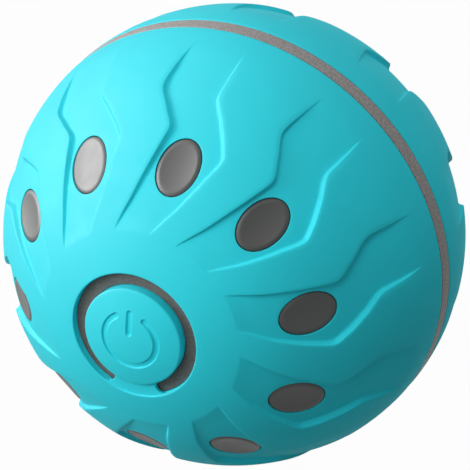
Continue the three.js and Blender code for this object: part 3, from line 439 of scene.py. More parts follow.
def finished(shape, body, slot, *stoodFor):
    shape.data.materials.clear()
    shape.data.materials.append(finishes[slot])
    if body:
        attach(shape, body)
    if stoodFor:
        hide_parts(*stoodFor)
    print("made", shape.name, len(shape.data.vertices), "vertices")
    return shape


def gridFaces(rows, columns, closed=True, skipped=None):
    # quads between rows of corners that go round; the last row joins the first if closed
    r, c = np.meshgrid(np.arange(rows if closed else rows - 1), np.arange(columns), indexing="ij")
    if skipped is not None:
        keep = ~skipped[: r.shape[0]]
        r, c = r[keep], c[keep]
    nextRow, nextColumn = (r + 1) % rows, (c + 1) % columns
    near = [r * columns + c, r * columns + nextColumn]
    far = [nextRow * columns + nextColumn, nextRow * columns + c]
    return np.stack(near + far, -1).reshape(-1, 4)


def capFaces(centre, first, count, under=False):
    # triangles from a corner at the centre to a ring of count corners; under turns them to face the other way
    ring = [(first + k, first + (k + 1) % count) for k in range(count)]
    return [[centre, a, b] if under else [centre, b, a] for a, b in ring]


def turned(outline, segments):
    # a closed outline of (radius, y) corners, turned about the pole axis
    around = np.radians(np.arange(segments) * 360 / segments)
    return np.concatenate([ringAt(r, y, around) for r, y in outline]), gridFaces(len(outline), segments).tolist()


def arc(centre, radius, start, end, steps):
    # corners of a round in a section: the angle counts from -y towards +radius
    angles = np.radians(np.linspace(start, end, steps + 1))
    return [(centre[0] + radius * math.sin(a), centre[1] - radius * math.cos(a)) for a in angles]


def softCorners(outline, rounds, steps=5):
    # the outline with each corner that has a round in rounds drawn soft
    made = []
    for i, corner in enumerate(outline):
        size = rounds.get(i, 0)
        if not size:
            made.append(corner)
            continue
        corner = np.array(corner)
        before, after = np.array(outline[i - 1]) - corner, np.array(outline[(i + 1) % len(outline)]) - corner
        start = corner + before / np.linalg.norm(before) * size
        end = corner + after / np.linalg.norm(after) * size
        for t in np.linspace(0, 1, steps + 1):
            made.append(tuple((1 - t) ** 2 * start + 2 * t * (1 - t) * corner + t * t * end))
    return made


# The ball's main sizes, read from the frame
rearLow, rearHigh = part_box("rear_cover")
ballRadius = rearHigh.y / mm
grooveHalf = rearLow.y / mm
padLow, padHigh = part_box("button_pad")
padRadius = padHigh.x / mm
padCrown = -padLow.y / mm
padUnderside = -padHigh.y / mm

# One channel's course: polar angle, left side, right side, share of the depth
channelPath = np.array(
    [
        (27.2, -21.8, -1.5, 0),
        (30, -18.7, 1.7, 0.3),
        (35, -14.2, 6.35, 0.55),
        (40, -11.4, 9.05, 0.7),
        (45, -9.25, 10.9, 0.85),
        (50.5, -7.5, 12.3, 0.97),
        (53.5, -6.9, 10.45, 1),
        (59, -10.2, 6.1, 0.97),
        (66, -14.2, 1.35, 0.8),
        (73, -13.5, 1.2, 0.47),
        (81, -12.5, 0.95, 0),
    ]
)
# The moulded covers: ten leaning channels, each with an oval window; angles in degrees
coverShape = {
    "sectors": 10,
    "firstWindow": 6.5,
    "inside": ballRadius - 1.5,
    "slotRadius": 11.45,
    "slotRound": 0.22,
    "edgeRound": 0.14,
    "channelStart": channelPath[0, 0],
    "channelEnd": channelPath[-1, 0],
    "channelDepth": 1.0,
    "sideRun": 0.8,
    "leastSideRun": 0.42,
    "sideEdge": 0.3,
    "windowPolar": 45,
    "windowHalfLength": 5.31,
    "windowHalfWidth": 3.71,
    "windowRound": 0.1,
}
# How finely the covers are drawn; the block is the patch of channel floor that each window is cut from
coverRows = {
    "firstPolar": 1,
    "leastPolar": 2,
    "slantStep": 0.5,
    "beforeStart": 27.05,
    "afterStart": 27.35,
    "blockStart": 35.6,
    "blockEnd": 53.8,
    "slot": 12,
    "pole": 26,
    "start": 10,
    "block": 30,
    "end": 30,
    "edge": 7,
    "edgeRound": 6,
    "slotRound": 8,
    "sideColumns": 8,
    "floorColumns": 14,
    "landColumns": 12,
    "windowRound": (22.5, 45, 67.5, 90),
    "outerShares": (0.15, 0.35, 0.6),
    "innerShares": (0.6, 0.3),
}


def channelAt(column, polar, flatEnd=False):
    return curveThrough(channelPath[:, 0], channelPath[:, column], polar, flatEnd)


def channelDepthAt(polar):
    polar = np.asarray(polar, float)
    sunk = (polar > coverShape["channelStart"]) & (polar < coverShape["channelEnd"])
    return np.where(sunk, channelAt(3, polar, flatEnd=True), 0) * coverShape["channelDepth"]


def sideFall(share):
    # share of the depth across a channel's side: a tight round at its top and a long one at its foot
    edge = coverShape["sideEdge"]
    return np.where(share < edge, share**2 / edge, 1 - (1 - share) ** 2 / (1 - edge))


def coverColumns(polar):
    # angles about the pole axis and depths of one sector's columns at one row
    shape, drawn = coverShape, coverRows
    left, right = [float(channelAt(column, polar)) for column in (1, 2)]
    depth = float(channelDepthAt(polar))
    across = ballRadius * math.sin(math.radians(max(polar, drawn["leastPolar"])))
    step = drawn["slantStep"]
    made = []
    for column in (1, 2):
        ahead, behind = [float(channelAt(column, polar + by)) for by in (step, -step)]
        slant = math.atan(across / ballRadius * (ahead - behind) / (2 * step))
        run = max(shape["leastSideRun"], shape["sideRun"] * depth / shape["channelDepth"])
        if polar < shape["channelStart"]:
            run, slant = shape["leastSideRun"], 0
            across = ballRadius * math.sin(math.radians(shape["channelStart"]))
        made.append(math.degrees(run / 2 / (across * math.cos(slant))))
    halfLeft, halfRight = made
    side = np.linspace(0, 1, drawn["sideColumns"] + 1)[:-1]
    floor = np.linspace(left + halfLeft, right - halfRight, drawn["floorColumns"] + 1)[:-1]
    nextLeft = left - halfLeft + 360 / shape["sectors"]
    land = np.linspace(right + halfRight, nextLeft, drawn["landColumns"] + 1)[:-1]
    falling, rising = left - halfLeft + side * 2 * halfLeft, right - halfRight + side * 2 * halfRight
    depths = [sideFall(side), np.ones(len(floor)), sideFall(1 - side), np.zeros(len(land))]
    return np.concatenate([falling, floor, rising, land]), np.concatenate(depths) * depth


def windowAxes():
    polar = coverShape["windowPolar"]
    outward, along = ballPoint(polar, 0, 1), ballPoint(polar + 90, 0, 1)
    return outward, along, np.cross(along, outward)


def windowPoints(a, b, radius):
    # corners at the distances a and b along and across a window, and at the radius from the ball's centre
    outward, along, across = windowAxes()
    return outward * np.sqrt(radius**2 - a**2 - b**2)[:, None] + along * a[:, None] + across * b[:, None]


def ovalSide(turn, u, v):
    # the direction that points out of an oval's edge at each turn
    side = np.stack([np.cos(turn) / u, np.sin(turn) / v], -1)
    return side / np.linalg.norm(side, axis=1, keepdims=True)


def windowRings(loopPolar, loopAround):
    # rings of corners from the loop round a window, over its soft rim and down its wall, to the loop inside
    shape = coverShape
    outward, along, across = windowAxes()
    flat = ballPoint(loopPolar, loopAround, 1)
    u, v = shape["windowHalfLength"], shape["windowHalfWidth"]
    turn = np.arctan2(flat @ across / v, flat @ along / u)
    side = ovalSide(turn, u, v)

    def ovalPoints(offset, radiusAt):
        a, b = u * np.cos(turn) + offset * side[:, 0], v * np.sin(turn) + offset * side[:, 1]
        size = ballRadius
        for _ in range(3):
            points = windowPoints(a, b, size)
            polar = np.degrees(np.arccos(-points[:, 1] / np.linalg.norm(points, axis=1)))
            size = radiusAt(polar)
        return points, polar, np.degrees(np.arctan2(points[:, 0], points[:, 2]))

    def partWay(share, oval, radiusAt):
        polar = loopPolar + (oval[1] - loopPolar) * share
        return ballPoint(polar, loopAround + (oval[2] - loopAround) * share, radiusAt(polar))

    def floorRadius(polar):
        return ballRadius - channelDepthAt(polar)

    def insideRadius(polar):
        return np.full(len(polar), shape["inside"])

    soft = shape["windowRound"]
    rim = ovalPoints(soft, floorRadius)
    made = [partWay(share, rim, floorRadius) for share in coverRows["outerShares"]] + [rim[0]]
    for angle in np.radians(coverRows["windowRound"]):
        drop = soft * (1 - math.cos(angle))
        made.append(ovalPoints(soft * (1 - math.sin(angle)), lambda polar: floorRadius(polar) - drop)[0])
    middle = (ballRadius - shape["channelDepth"] + shape["inside"]) / 2 - soft / 2
    made.append(ovalPoints(0, lambda polar: np.full(len(polar), middle))[0])
    foot = ovalPoints(0, insideRadius)
    return made + [foot[0]] + [partWay(share, foot, insideRadius) for share in coverRows["innerShares"]]


def coverMesh(hasSlot):
    shape, drawn = coverShape, coverRows
    sectors, rounding, slotRound = shape["sectors"], shape["edgeRound"], shape["slotRound"]
    slotCentre = shape["slotRadius"] + slotRound
    slotPolar = math.degrees(math.asin(slotCentre / (ballRadius - slotRound)))
    edgeCentre = grooveHalf + rounding
    edgePolar = math.degrees(math.acos(edgeCentre / (ballRadius - rounding)))
    first, firstRows = (slotPolar, drawn["slot"]) if hasSlot else (drawn["firstPolar"], drawn["pole"])
    polars = np.concatenate(
        [
            np.linspace(first, drawn["beforeStart"], firstRows),
            np.linspace(drawn["afterStart"], drawn["blockStart"], drawn["start"] + 1)[:-1],
            np.linspace(drawn["blockStart"], drawn["blockEnd"], drawn["block"] + 1),
            np.linspace(drawn["blockEnd"], shape["channelEnd"], drawn["end"] + 1)[1:],
            np.linspace(shape["channelEnd"], edgePolar, drawn["edge"] + 1)[1:],
        ]
    )
    perSector = drawn["sideColumns"] * 2 + drawn["floorColumns"] + drawn["landColumns"]
    starts = np.repeat(np.arange(sectors) * 360 / sectors + shape["firstWindow"], perSector)
    columns = len(starts)
    outer, inner = [], []
    for polar in polars:
        angles, depths = coverColumns(polar)
        around = starts + np.tile(angles, sectors)
        outer.append(ballPoint(polar, around, ballRadius - np.tile(depths, sectors)))
        inner.append(ballPoint(polar, around, shape["inside"]))

    def sectionRow(r, y, polar):
        return ringAt(r, y, np.radians(starts + np.tile(coverColumns(polar)[0], sectors)))

    edgeRadius = math.sqrt((ballRadius - rounding) ** 2 - edgeCentre**2)
    edge = arc((edgeRadius, -edgeCentre), rounding, edgePolar, 180, drawn["edgeRound"])[1:]
    edge.append((math.sqrt(shape["inside"] ** 2 - grooveHalf**2), -grooveHalf))
    rows = outer + [sectionRow(r, y, edgePolar) for r, y in edge] + inner[::-1]
    if hasSlot:
        slotHeight = math.sqrt((ballRadius - slotRound) ** 2 - slotCentre**2)
        rim = arc((slotCentre, -slotHeight), slotRound, slotPolar, -90, drawn["slotRound"])[1:]
        rim.append((shape["slotRadius"], -math.sqrt(shape["inside"] ** 2 - shape["slotRadius"] ** 2)))
        rows += [sectionRow(r, y, slotPolar) for r, y in rim[::-1]]
    corners = [np.concatenate(rows)]

    # the block of floor faces round each window makes way for rings that close in on the oval
    top = int(np.argmin(abs(polars - drawn["blockStart"])))
    bottom = top + drawn["block"]
    foot, head = drawn["sideColumns"], drawn["sideColumns"] + drawn["floorColumns"]

    def innerRow(row):
        return len(outer) + len(edge) + len(outer) - 1 - row

    skipped = np.zeros((len(rows), columns), bool)
    for i in range(sectors):
        span = slice(i * perSector + foot, i * perSector + head)
        skipped[top:bottom, span] = True
        skipped[innerRow(bottom) : innerRow(top), span] = True
    faces = gridFaces(len(rows), columns, hasSlot, skipped).tolist()

    loop = [(top, c) for c in range(foot, head)] + [(r, head) for r in range(top, bottom)]
    loop += [(bottom, c) for c in range(head, foot, -1)] + [(r, foot) for r in range(bottom, top, -1)]
    loopPolar = np.array([polars[r] for r, c in loop])
    rings = windowRings(loopPolar, np.array([coverColumns(polars[r])[0][c] for r, c in loop]))
    count = len(loop)
    for i in range(sectors):
        base = sum(len(c) for c in corners)
        corners.append(turnedBy(np.concatenate(rings), i * 360 / sectors + shape["firstWindow"]))
        around = [(i * perSector + c) % columns for r, c in loop]
        loops = [[r * columns + c for (r, _), c in zip(loop, around)]]
        loops += [list(range(base + k * count, base + (k + 1) * count)) for k in range(len(rings))]
        loops += [[innerRow(r) * columns + c for (r, _), c in zip(loop, around)]]
        for near, far in zip(loops, loops[1:]):
            faces += [[near[k], near[(k + 1) % count], far[(k + 1) % count], far[k]] for k in range(count)]
    if not hasSlot:
        pole = sum(len(c) for c in corners)
        corners.append(np.array([(0, -ballRadius, 0), (0, -shape["inside"], 0)]))
        faces += capFaces(pole, 0, columns) + capFaces(pole + 1, (len(rows) - 1) * columns, columns, under=True)
    return np.concatenate(corners), faces


frontCover = meshObject("frontCover", *coverMesh(True))
rearCover = meshObject("rearCover", *mirrored(*coverMesh(False)))
finished(frontCover, "case", "silicone", "front_cover")
finished(rearCover, "case", "silicone", "rear_cover")


# The band between the covers, with the rib that the seam clamps
bandShape = {
    "radius": ballRadius - 0.06,
    "half": grooveHalf - 0.16,
    "inside": 38.5,
    "ribHalf": 0.6,
    "ribInside": 37.45,
    "edgeRound": 0.12,
    "sharpOver": 35,
    "segments": 288,
}


def bandMesh():
    shape = bandShape
    ribInside, inside, radius = shape["ribInside"], shape["inside"], shape["radius"]
    ribHalf, half, soft = shape["ribHalf"], shape["half"], shape["edgeRound"]
    outline = [(ribInside, -ribHalf), (ribInside, ribHalf), (inside, ribHalf), (inside, half)]
    outline += [(radius, half), (radius, -half), (inside, -half), (inside, -ribHalf)]
    return turned(softCorners(outline, {4: soft, 5: soft}), shape["segments"])  # 4 and 5 are the outer corners


band = meshObject("band", *bandMesh())
band.data.set_sharp_from_angle(angle=math.radians(bandShape["sharpOver"]))
finished(band, "case", "band_plastic", "equator_band")


# The two halves of the shell, with the raised ovals that fill the windows
shellShape = {
    "radius": 38.15,
    "inside": 36.15,
    "wallMiddle": 37.1,
    "beyond": 39,
    "segments": 192,
    "sharpOver": 32,
    "collarHeight": 37.05,
    "collarReach": 11.35,
    "collarRounds": {2: 0.08, 3: 0.1},
    "pocketFloor": 35.5,
    "pocketRadius": 8.95,
    "plungerHole": 2.3,
    "poleFloor": 33.5,
    "poleShare": 0.9998,
    "flangeInside": 33.85,
    "flangeHeight": 3,
    "flangeEnd": 6,
    "seamHalf": 0.15,
    "rebate": 0.9,
    "rebateRadius": 37.15,
    "socketGap": 0.3,
}
ovalShape = {
    "gap": 0.14,
    "round": 0.12,
    "root": 37.5,
    "dishDepth": 0.36,
    "dishReach": 0.83,
    "dishRings": (0.15, 0.35, 0.55, 0.72, 0.85, 0.94, 0.985, 1.015),
    "rimWidth": 0.62,
    "rimDrop": 0.13,
    "rimRings": 9,
    "wallAngles": (30, 50, 70, 90),
    "segments": 96,
}


def shellArc(radius, fromY, toY, steps=24):
    angles = np.linspace(math.acos(fromY / radius), math.acos(toY / radius), steps + 1)
    return [(radius * math.sin(a), radius * math.cos(a)) for a in angles]


def ovalMesh(index, mirror):
    # one raised oval: a dished top that follows the channel's floor, a soft rim, and a root in the shell's wall
    shape = ovalShape
    u, v = [coverShape[name] - shape["gap"] for name in ("windowHalfLength", "windowHalfWidth")]
    turn = np.linspace(0, 2 * math.pi, shape["segments"], endpoint=False)
    side = ovalSide(turn, u, v)
    soft, reach, width = shape["round"], shape["dishReach"], shape["rimWidth"]
    # each ring's share of the oval, distance in from its edge, and drop below the channel's floor
    steps = []
    for share in np.array(shape["dishRings"]) * reach:
        steps.append((share, 0, shape["dishDepth"] * max(0.0, 1 - (share / reach) ** 2)))
    for t in np.linspace(0, 1, shape["rimRings"]):
        steps.append((1, soft + (width - soft) * (1 - t), shape["rimDrop"] * t * t))
    for a in np.radians(shape["wallAngles"]):
        steps.append((1, soft * (1 - math.sin(a)), shape["rimDrop"] + soft * (1 - math.cos(a))))
    rings = []
    for share, inset, drop in steps:
        a = (u * np.cos(turn) - inset * side[:, 0]) * share
        b = (v * np.sin(turn) - inset * side[:, 1]) * share
        polar = np.degrees(np.arccos(-windowPoints(a, b, ballRadius)[:, 1] / ballRadius))
        rings.append(windowPoints(a, b, ballRadius - channelDepthAt(polar) - drop))
    rings.append(windowPoints(u * np.cos(turn), v * np.sin(turn), shape["root"]))
    middle = ballRadius - float(channelDepthAt(coverShape["windowPolar"])) - shape["dishDepth"]
    outward = windowAxes()[0]
    corners = np.concatenate(rings + [[outward * middle, outward * shape["root"]]])
    count = len(turn)
    end = len(rings) * count
    faces = gridFaces(len(rings), count, closed=False).tolist()
    faces += capFaces(end, 0, count) + capFaces(end + 1, end - count, count, under=True)
    corners = turnedBy(corners, index * 360 / coverShape["sectors"] + coverShape["firstWindow"])
    return mirrored(corners, faces) if mirror else (corners, faces)


def rodMesh(x, z, radius, start, end, segments=40):
    # a round bar along Y; start or end may be a function that gives y from the distance to the pole axis
    turn = np.linspace(0, 2 * math.pi, segments, endpoint=False)
    px, pz = x + radius * np.sin(turn), z + radius * np.cos(turn)
    away, centre = np.hypot(px, pz), math.hypot(x, z)
    rings, middles = [], []
    for limit in (start, end):
        rings.append(np.stack([px, limit(away) if callable(limit) else np.full(segments, float(limit)), pz], -1))
        middles.append([x, limit(centre) if callable(limit) else limit, z])
    faces = gridFaces(2, segments, closed=False).tolist()
    faces += capFaces(2 * segments, 0, segments) + capFaces(2 * segments + 1, segments, segments, under=True)
    return np.concatenate(rings + [middles]), faces


def boxMesh(low, high):
    corners = [(x, y, z) for x in (low[0], high[0]) for y in (low[1], high[1]) for z in (low[2], high[2])]
    faces = [[0, 1, 3, 2], [4, 6, 7, 5], [0, 4, 5, 1], [2, 3, 7, 6], [0, 2, 6, 4], [1, 5, 7, 3]]
    return np.array(corners, float), faces


def together(name, parts):
    # separate closed lumps in one mesh, each turned so that its faces point out
    corners, faces = [], []
    for partCorners, partFaces in parts:
        partCorners = np.asarray(partCorners, float)
        middle = partCorners.mean(0)
        volume = 0
        for face in partFaces:
            a = partCorners[face[0]] - middle
            for i in range(1, len(face) - 1):
                volume += np.dot(a, np.cross(partCorners[face[i]] - middle, partCorners[face[i + 1]] - middle))
        base = sum(len(c) for c in corners)
        corners.append(partCorners)
        faces += [[base + k for k in (face if volume > 0 else face[::-1])] for face in partFaces]
    return meshObject(name, np.concatenate(corners), faces)


def carved(shape, operation, tool):
    modifier = shape.modifiers.new(operation, "BOOLEAN")
    modifier.operation = operation
    modifier.solver = "MANIFOLD"
    modifier.object = tool
    bpy.context.view_layer.update()
    ready = bpy.data.meshes.new_from_object(shape.evaluated_get(bpy.context.evaluated_depsgraph_get()))
    if len(ready.vertices) == len(shape.data.vertices):
        raise ValueError(f"{shape.name} was not changed by {tool.name}")
    shape.modifiers.clear()
    old, shape.data = shape.data, ready
    bpy.data.meshes.remove(old)
    toolMesh = tool.data
    bpy.data.objects.remove(tool)
    bpy.data.meshes.remove(toolMesh)


def ringPlaces(count, radius, firstAngle):
    angles = [math.radians(firstAngle + 360 / count * i) for i in range(count)]
    return [(radius * math.cos(a), radius * math.sin(a)) for a in angles]


# Posts, bores and rails inside the shell, at the places of the screws in the frame
boardScrewLow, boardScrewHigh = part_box("board_screw_1")
postShape = {
    "caseCircle": 30,
    "frontRadius": 3.2,
    "rearRadius": 4.3,
    "postEnd": 1.3,
    "boardCircle": math.hypot(boardScrewLow.x + boardScrewHigh.x, boardScrewLow.z + boardScrewHigh.z) / 2 / mm,
    "boardRadius": 2.2,
    "boardEnd": -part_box("circuit_board")[0].y / mm + 0.15,
    "pilotRadius": 1.3,
    "pilotDepth": 9.1,
    "boardPilotRadius": 1.05,
    "boardPilotDepth": 31.5,
    "holeRadius": 1.35,
    "boreRadius": 2.7,
    "boreStart": 5.9,
    "overlap": 1,
}
casePlaces = ringPlaces(4, postShape["caseCircle"], 45)
boardPlaces = ringPlaces(3, postShape["boardCircle"], 90)


def wallRear(away):
    return np.sqrt(shellShape["wallMiddle"] ** 2 - away**2)


def wallFront(away):
    return -wallRear(away)


rimOutline = [
    (math.sqrt(shellShape["radius"] ** 2 - shellShape["rebate"] ** 2), shellShape["rebate"]),
    (shellShape["rebateRadius"], shellShape["rebate"]),
    (shellShape["rebateRadius"], shellShape["seamHalf"]),
    (shellShape["flangeInside"], shellShape["seamHalf"]),
    (shellShape["flangeInside"], shellShape["flangeHeight"]),
    (math.sqrt(shellShape["inside"] ** 2 - shellShape["flangeEnd"] ** 2), shellShape["flangeEnd"]),
]
collarFoot = math.sqrt(shellShape["radius"] ** 2 - shellShape["collarReach"] ** 2)
collarOutline = [
    (shellShape["plungerHole"], shellShape["pocketFloor"]),
    (shellShape["pocketRadius"], shellShape["pocketFloor"]),
    (shellShape["pocketRadius"], shellShape["collarHeight"]),
    (shellShape["collarReach"], shellShape["collarHeight"]),
    (shellShape["collarReach"], collarFoot),
]
frontOutline = softCorners(collarOutline, shellShape["collarRounds"], 4)
frontOutline += shellArc(shellShape["radius"], collarFoot, shellShape["rebate"])[1:-1] + rimOutline
frontOutline += shellArc(shellShape["inside"], shellShape["flangeEnd"], shellShape["poleFloor"])[1:]
frontOutline += [(shellShape["plungerHole"], shellShape["poleFloor"])]
frontShell = together("frontShell", [turned([(r, -y) for r, y in frontOutline], shellShape["segments"])])
frontLumps = [ovalMesh(i, False) for i in range(coverShape["sectors"])]
frontBores = []
for x, z in casePlaces:
    frontLumps.append(rodMesh(x, z, postShape["frontRadius"], wallFront, -postShape["postEnd"]))
    frontBores.append(rodMesh(x, z, postShape["pilotRadius"], -postShape["pilotDepth"], postShape["overlap"]))
for x, z in boardPlaces:
    boardEnd = -postShape["boardEnd"]
    frontLumps.append(rodMesh(x, z, postShape["boardRadius"], wallFront, boardEnd))
    pilotEnd = boardEnd + postShape["overlap"]
    frontBores.append(rodMesh(x, z, postShape["boardPilotRadius"], -postShape["boardPilotDepth"], pilotEnd))
carved(frontShell, "UNION", together("frontLumps", frontLumps))
carved(frontShell, "DIFFERENCE", together("frontBores", frontBores))

# the rear outline stops just short of the pole, where the socket's opening is cut
nearPole = [shellShape[name] * shellShape["poleShare"] for name in ("radius", "inside")]
rearOutline = shellArc(shellShape["radius"], nearPole[0], shellShape["rebate"], 40)[:-1] + rimOutline
rearOutline += shellArc(shellShape["inside"], shellShape["flangeEnd"], nearPole[1], 40)[1:]
rearShell = together("rearShell", [turned(rearOutline, shellShape["segments"])])
# the rails that hold the charging board, and the grooves in them that it slides into
railShapes = {
    "rail": {"near": 7, "far": 10.3, "start": 27.45, "low": -4.5, "high": -0.2, "short": 0},
    "groove": {"near": 5, "far": 8.3, "start": 26.45, "low": -3.1, "high": -1.6, "short": 1.2},
}


def railMeshes(kind):
    rail = railShapes[kind]
    end = math.sqrt(shellShape["wallMiddle"] ** 2 - rail["far"] ** 2 - rail["low"] ** 2) - rail["short"]
    made = []
    for side in (-1, 1):
        ends = sorted((rail["near"] * side, rail["far"] * side))
        made.append(boxMesh((ends[0], rail["start"], rail["low"]), (ends[1], end, rail["high"])))
    return made


rearLumps = railMeshes("rail")
rearBores, rearHoles = [], []
for x, z in casePlaces:
    rearLumps.append(rodMesh(x, z, postShape["rearRadius"], postShape["postEnd"], wallRear))
    rearBores.append(rodMesh(x, z, postShape["boreRadius"], postShape["boreStart"], shellShape["beyond"]))
    rearHoles.append(rodMesh(x, z, postShape["holeRadius"], 0, postShape["boreStart"] + postShape["overlap"]))
carved(rearShell, "UNION", together("rearLumps", rearLumps))
carved(rearShell, "DIFFERENCE", together("rearBores", rearBores + railMeshes("groove")))
carved(rearShell, "DIFFERENCE", together("rearHoles", rearHoles))


def socketCutter():
    # an obround bar that opens the rear pole for the charging socket
    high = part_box("charge_socket")[1]
    radius = high.z / mm + shellShape["socketGap"]
    half = (high.x - high.z) / mm
    turn = np.linspace(-math.pi / 2, math.pi / 2, 17)
    rim = [(half + radius * math.cos(a), radius * math.sin(a)) for a in turn]
    rim += [(-half - radius * math.cos(a), -radius * math.sin(a)) for a in turn]
    limits = (shellShape["inside"] - postShape["overlap"], shellShape["beyond"])
    corners = [(x, y, z) for y in limits for x, z in rim]
    count = len(rim)
    faces = gridFaces(2, count, closed=False).tolist() + [list(range(count))[::-1], list(range(count, 2 * count))]
    return np.array(corners), faces


carved(rearShell, "DIFFERENCE", together("socketCutter", [socketCutter()]))
# the ovals come last, so that each is whole where a screw's bore ends under it
carved(rearShell, "UNION", together("rearOvals", [ovalMesh(i, True) for i in range(coverShape["sectors"])]))
for shell in (frontShell, rearShell):
    shell.data.polygons.foreach_set("use_smooth", np.ones(len(shell.data.polygons), bool))
    shell.data.set_sharp_from_angle(angle=math.radians(shellShape["sharpOver"]))
finished(frontShell, "case", "shell_plastic", "front_shell")
finished(rearShell, "case", "shell_plastic", "rear_shell")


# The push pad: a shallow dome with a sunk power symbol
padShape = {
    "rimHeight": 1.65,
    "edgeRound": 0.4,
    "edgeInset": 0.4,
    "edgeRows": 7,
    "angles": 420,
    "fineStep": 0.055,
    "fineReach": 5.6,
    "coarseRows": 11,
    "arcRadius": 4.83,
    "arcShift": 0.08,
    "arcGap": 33,
    "barStart": 1.43,
    "barEnd": 5.02,
    "strokeHalf": 0.48,
    "strokeDepth": 0.34,
    "strokeWall": 0.2,
    "footRadius": 8.85,
    "footHeight": 36.7,
    "footLip": 0.1,
    "skirtInside": 8.2,
    "underStart": 1,
}


def symbolDepth(x, z):
    # depth of the ring with a gap at its top and of the bar that stands in the gap
    shape = padShape
    ringX = x - shape["arcShift"]
    away, angle = np.hypot(ringX, z), np.abs(np.arctan2(ringX, z))
    gap = math.radians(shape["arcGap"])
    endX, endZ = shape["arcRadius"] * math.sin(gap), shape["arcRadius"] * math.cos(gap)
    toArc = np.where(angle > gap, np.abs(away - shape["arcRadius"]), np.hypot(np.abs(ringX) - endX, z - endZ))
    toBar = np.hypot(x, z - np.clip(z, shape["barStart"], shape["barEnd"]))
    inside = shape["strokeHalf"] + shape["strokeWall"] / 2 - np.minimum(toArc, toBar)
    return shape["strokeDepth"] * smoothStep(inside / shape["strokeWall"])


def padMesh():
    shape = padShape
    flat = padRadius - shape["edgeInset"]
    rise = padCrown - padUnderside - shape["rimHeight"]
    domeRadius = (flat**2 + rise**2) / (2 * rise)
    domeCentre = padCrown - domeRadius
    rounding = shape["edgeRound"]
    centreRadius = padRadius - rounding
    centreHeight = domeCentre + math.sqrt((domeRadius - rounding) ** 2 - centreRadius**2)
    tilt = math.degrees(math.asin(centreRadius / (domeRadius - rounding)))
    edge = arc((centreRadius, -centreHeight), rounding, tilt, 90, shape["edgeRows"])
    radii = list(np.arange(shape["fineStep"], shape["fineReach"], shape["fineStep"]))
    radii += list(np.linspace(shape["fineReach"], edge[0][0], shape["coarseRows"] + 1)[:-1])
    angles = np.radians(np.arange(shape["angles"]) * 360 / shape["angles"])
    rows = []
    for r in radii:
        x, z = r * np.sin(angles), r * np.cos(angles)
        height = domeCentre + math.sqrt(domeRadius**2 - r**2)
        rows.append(np.stack([x, -height + symbolDepth(x, z), z], -1))
    foot, footHeight, skirt = shape["footRadius"], shape["footHeight"], shape["skirtInside"]
    side = edge + [(foot, -footHeight - shape["footLip"]), (foot, -footHeight), (skirt, -footHeight)]
    side += [(skirt, -padUnderside), (shape["underStart"], -padUnderside)]
    rows += [ringAt(r, y, angles) for r, y in side]
    count = len(angles)
    end = len(rows) * count
    faces = gridFaces(len(rows), count, closed=False).tolist()
    faces += capFaces(end, 0, count) + capFaces(end + 1, end - count, count, under=True)
    return np.concatenate(rows + [[(0, -padCrown, 0), (0, -padUnderside, 0)]]), faces


pad = meshObject("pad", *padMesh())
finished(pad, "pad", "silicone", "button_pad")

# The web that ties the pad to the cover at the symbol's foot; the real web bends as the pad is pushed, but here it
# is drawn at rest
webShape = {
    "inner": 8.75,
    "outer": 11.6,
    "slotMiddle": 10.225,
    "slotHalf": 1.22,
    "slotShare": 0.99,
    "endAngle": 29.6,
    "innerTop": 38.2,
    "outerTop": 38.0,
    "underside": 37.35,
    "edgeRound": 0.08,
    "edgeAngles": (0, 22, 45, 68, 90),
    "edgeLip": 0.1,
    "rows": 40,
    "spans": 41,
    "sharpOver": 50,
    "hingeRise": 0.3,
    "bendStart": 11.1,
    "bendEnd": 8.8,
}


def webMesh():
    shape = webShape
    slotInner, slotOuter = [shape["slotMiddle"] + shape["slotHalf"] * shape["slotShare"] * side for side in (-1, 1)]
    radii = np.concatenate([[shape["inner"]], np.linspace(slotInner, slotOuter, shape["rows"]), [shape["outer"]]])
    under, lip, edge = shape["underside"], shape["edgeLip"], shape["edgeRound"]
    rows = []
    for r in radii:
        inSlot = max(0.0, shape["slotHalf"] ** 2 - (r - shape["slotMiddle"]) ** 2)
        half = math.radians(shape["endAngle"]) - math.sqrt(inSlot) / r
        share = (r - radii[1]) / (radii[-2] - radii[1])
        top = shape["innerTop"] + (shape["outerTop"] - shape["innerTop"]) * min(max(share, 0), 1)
        ends = []
        for a in np.radians(shape["edgeAngles"]):
            ends.append((half - (edge - edge * math.sin(a)) / r, top - (edge - edge * math.cos(a))))
        spans = np.linspace(-1, 1, shape["spans"])[1:-1] * (half - edge / r)
        section = [(-a, y) for a, y in ends[::-1]] + [(a, top) for a in spans] + ends
        section += [(half, under + lip), (half - lip / r, under)] + [(a, under) for a in spans[::-1]]
        section += [(-half + lip / r, under), (-half, under + lip)]
        rows.append([(-r * math.sin(a), -y, -r * math.cos(a)) for a, y in section])
    count = len(rows[0])
    end = len(rows) * count
    faces = gridFaces(len(rows), count, closed=False).tolist()
    faces += [list(range(count))[::-1], list(range(end - count, end))]
    return np.concatenate(rows), faces


web = together("web", [webMesh()])
web.data.set_sharp_from_angle(angle=math.radians(webShape["sharpOver"]))
finished(web, None, "silicone")
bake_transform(web)


# A pale floor and backdrop that look white, and soft lamps
stageLook = {
    "floorHalf": 4000,
    "floorColour": (0.22, 0.22, 0.22),
    "shadowShare": 0.02,
    "sky": (0.82, 0.95, 1.0),
    "skyStrength": 0.25,
    "lampDistance": 0.9,
}
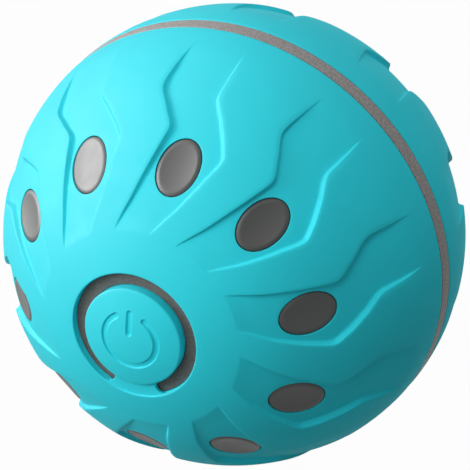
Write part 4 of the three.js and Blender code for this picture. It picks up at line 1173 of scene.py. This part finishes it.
# the two glow lamps only show as broad soft highlights
lamps = {
    "leftLight": {"toward": (-0.70, -0.62, 0.34), "size": 0.42, "power": 4.5},
    "frontLight": {"toward": (-0.052, -0.549, 0.834), "size": 0.5, "power": 2.0},
    "nearLight": {"toward": (-0.204, -0.893, 0.401), "size": 0.5, "power": 1.1},
    "backLight": {"toward": (0.297, 0.529, 0.795), "size": 0.5, "power": 1.4},
    "glow": {"toward": (-0.863, -0.239, 0.39), "size": 0.8, "power": 27.0, "highlightOnly": True},
    "wideGlow": {"toward": (-0.81, -0.116, 0.547), "size": 1.5, "power": 11.0, "highlightOnly": True},
}


def whiteForCamera(tree, plain, share):
    # what the camera, glossy and transmission rays meet is white, up to the share
    path = addNode(tree, "ShaderNodeLightPath").outputs
    seen = worked(tree, "MAXIMUM", path["Is Camera Ray"], path["Is Glossy Ray"])
    seen = worked(tree, "MAXIMUM", seen, path["Is Transmission Ray"])
    white = addNode(tree, "ShaderNodeEmission", {"Color": (1, 1, 1, 1), "Strength": 1.0}).outputs[0]
    inputs = {"Fac": worked(tree, "MULTIPLY", seen, share), 1: plain, 2: white}
    return addNode(tree, "ShaderNodeMixShader", inputs).outputs[0]


floorMaterial = bpy.data.materials.new("floor")
floorMaterial.use_nodes = True
floorTree = floorMaterial.node_tree
floorTree.nodes.remove(floorTree.nodes["Principled BSDF"])
floorPlain = addNode(floorTree, "ShaderNodeBsdfDiffuse", {"Color": (*stageLook["floorColour"], 1)}).outputs[0]
floorWhite = whiteForCamera(floorTree, floorPlain, 1 - stageLook["shadowShare"])
floorTree.links.new(floorWhite, floorTree.nodes["Material Output"].inputs["Surface"])
half = stageLook["floorHalf"]
floorCorners = [(half * x, half * y, -ballRadius) for x, y in ((-1, -1), (1, -1), (1, 1), (-1, 1))]
floor = meshObject("floor", floorCorners, [[0, 1, 2, 3]])
floor.data.materials.append(floorMaterial)

world = bpy.data.worlds.new("world")
world.use_nodes = True
bpy.context.scene.world = world
skyTree = world.node_tree
sky = skyTree.nodes["Background"]
sky.inputs["Color"].default_value = (*stageLook["sky"], 1)
sky.inputs["Strength"].default_value = stageLook["skyStrength"]
skyTree.links.new(whiteForCamera(skyTree, sky.outputs[0], 1.0), skyTree.nodes["World Output"].inputs["Surface"])

for name, lamp in lamps.items():
    lampData = bpy.data.lights.new(name, "AREA")
    lampData.shape = "DISK"
    lampData.size = lamp["size"]
    lampData.energy = lamp["power"]
    lampObject = bpy.data.objects.new(name, lampData)
    lampObject.visible_diffuse = not lamp.get("highlightOnly", False)
    aimed(lampObject, Vector(lamp["toward"]).normalized() * stageLook["lampDistance"])
print("stage and lamps set")
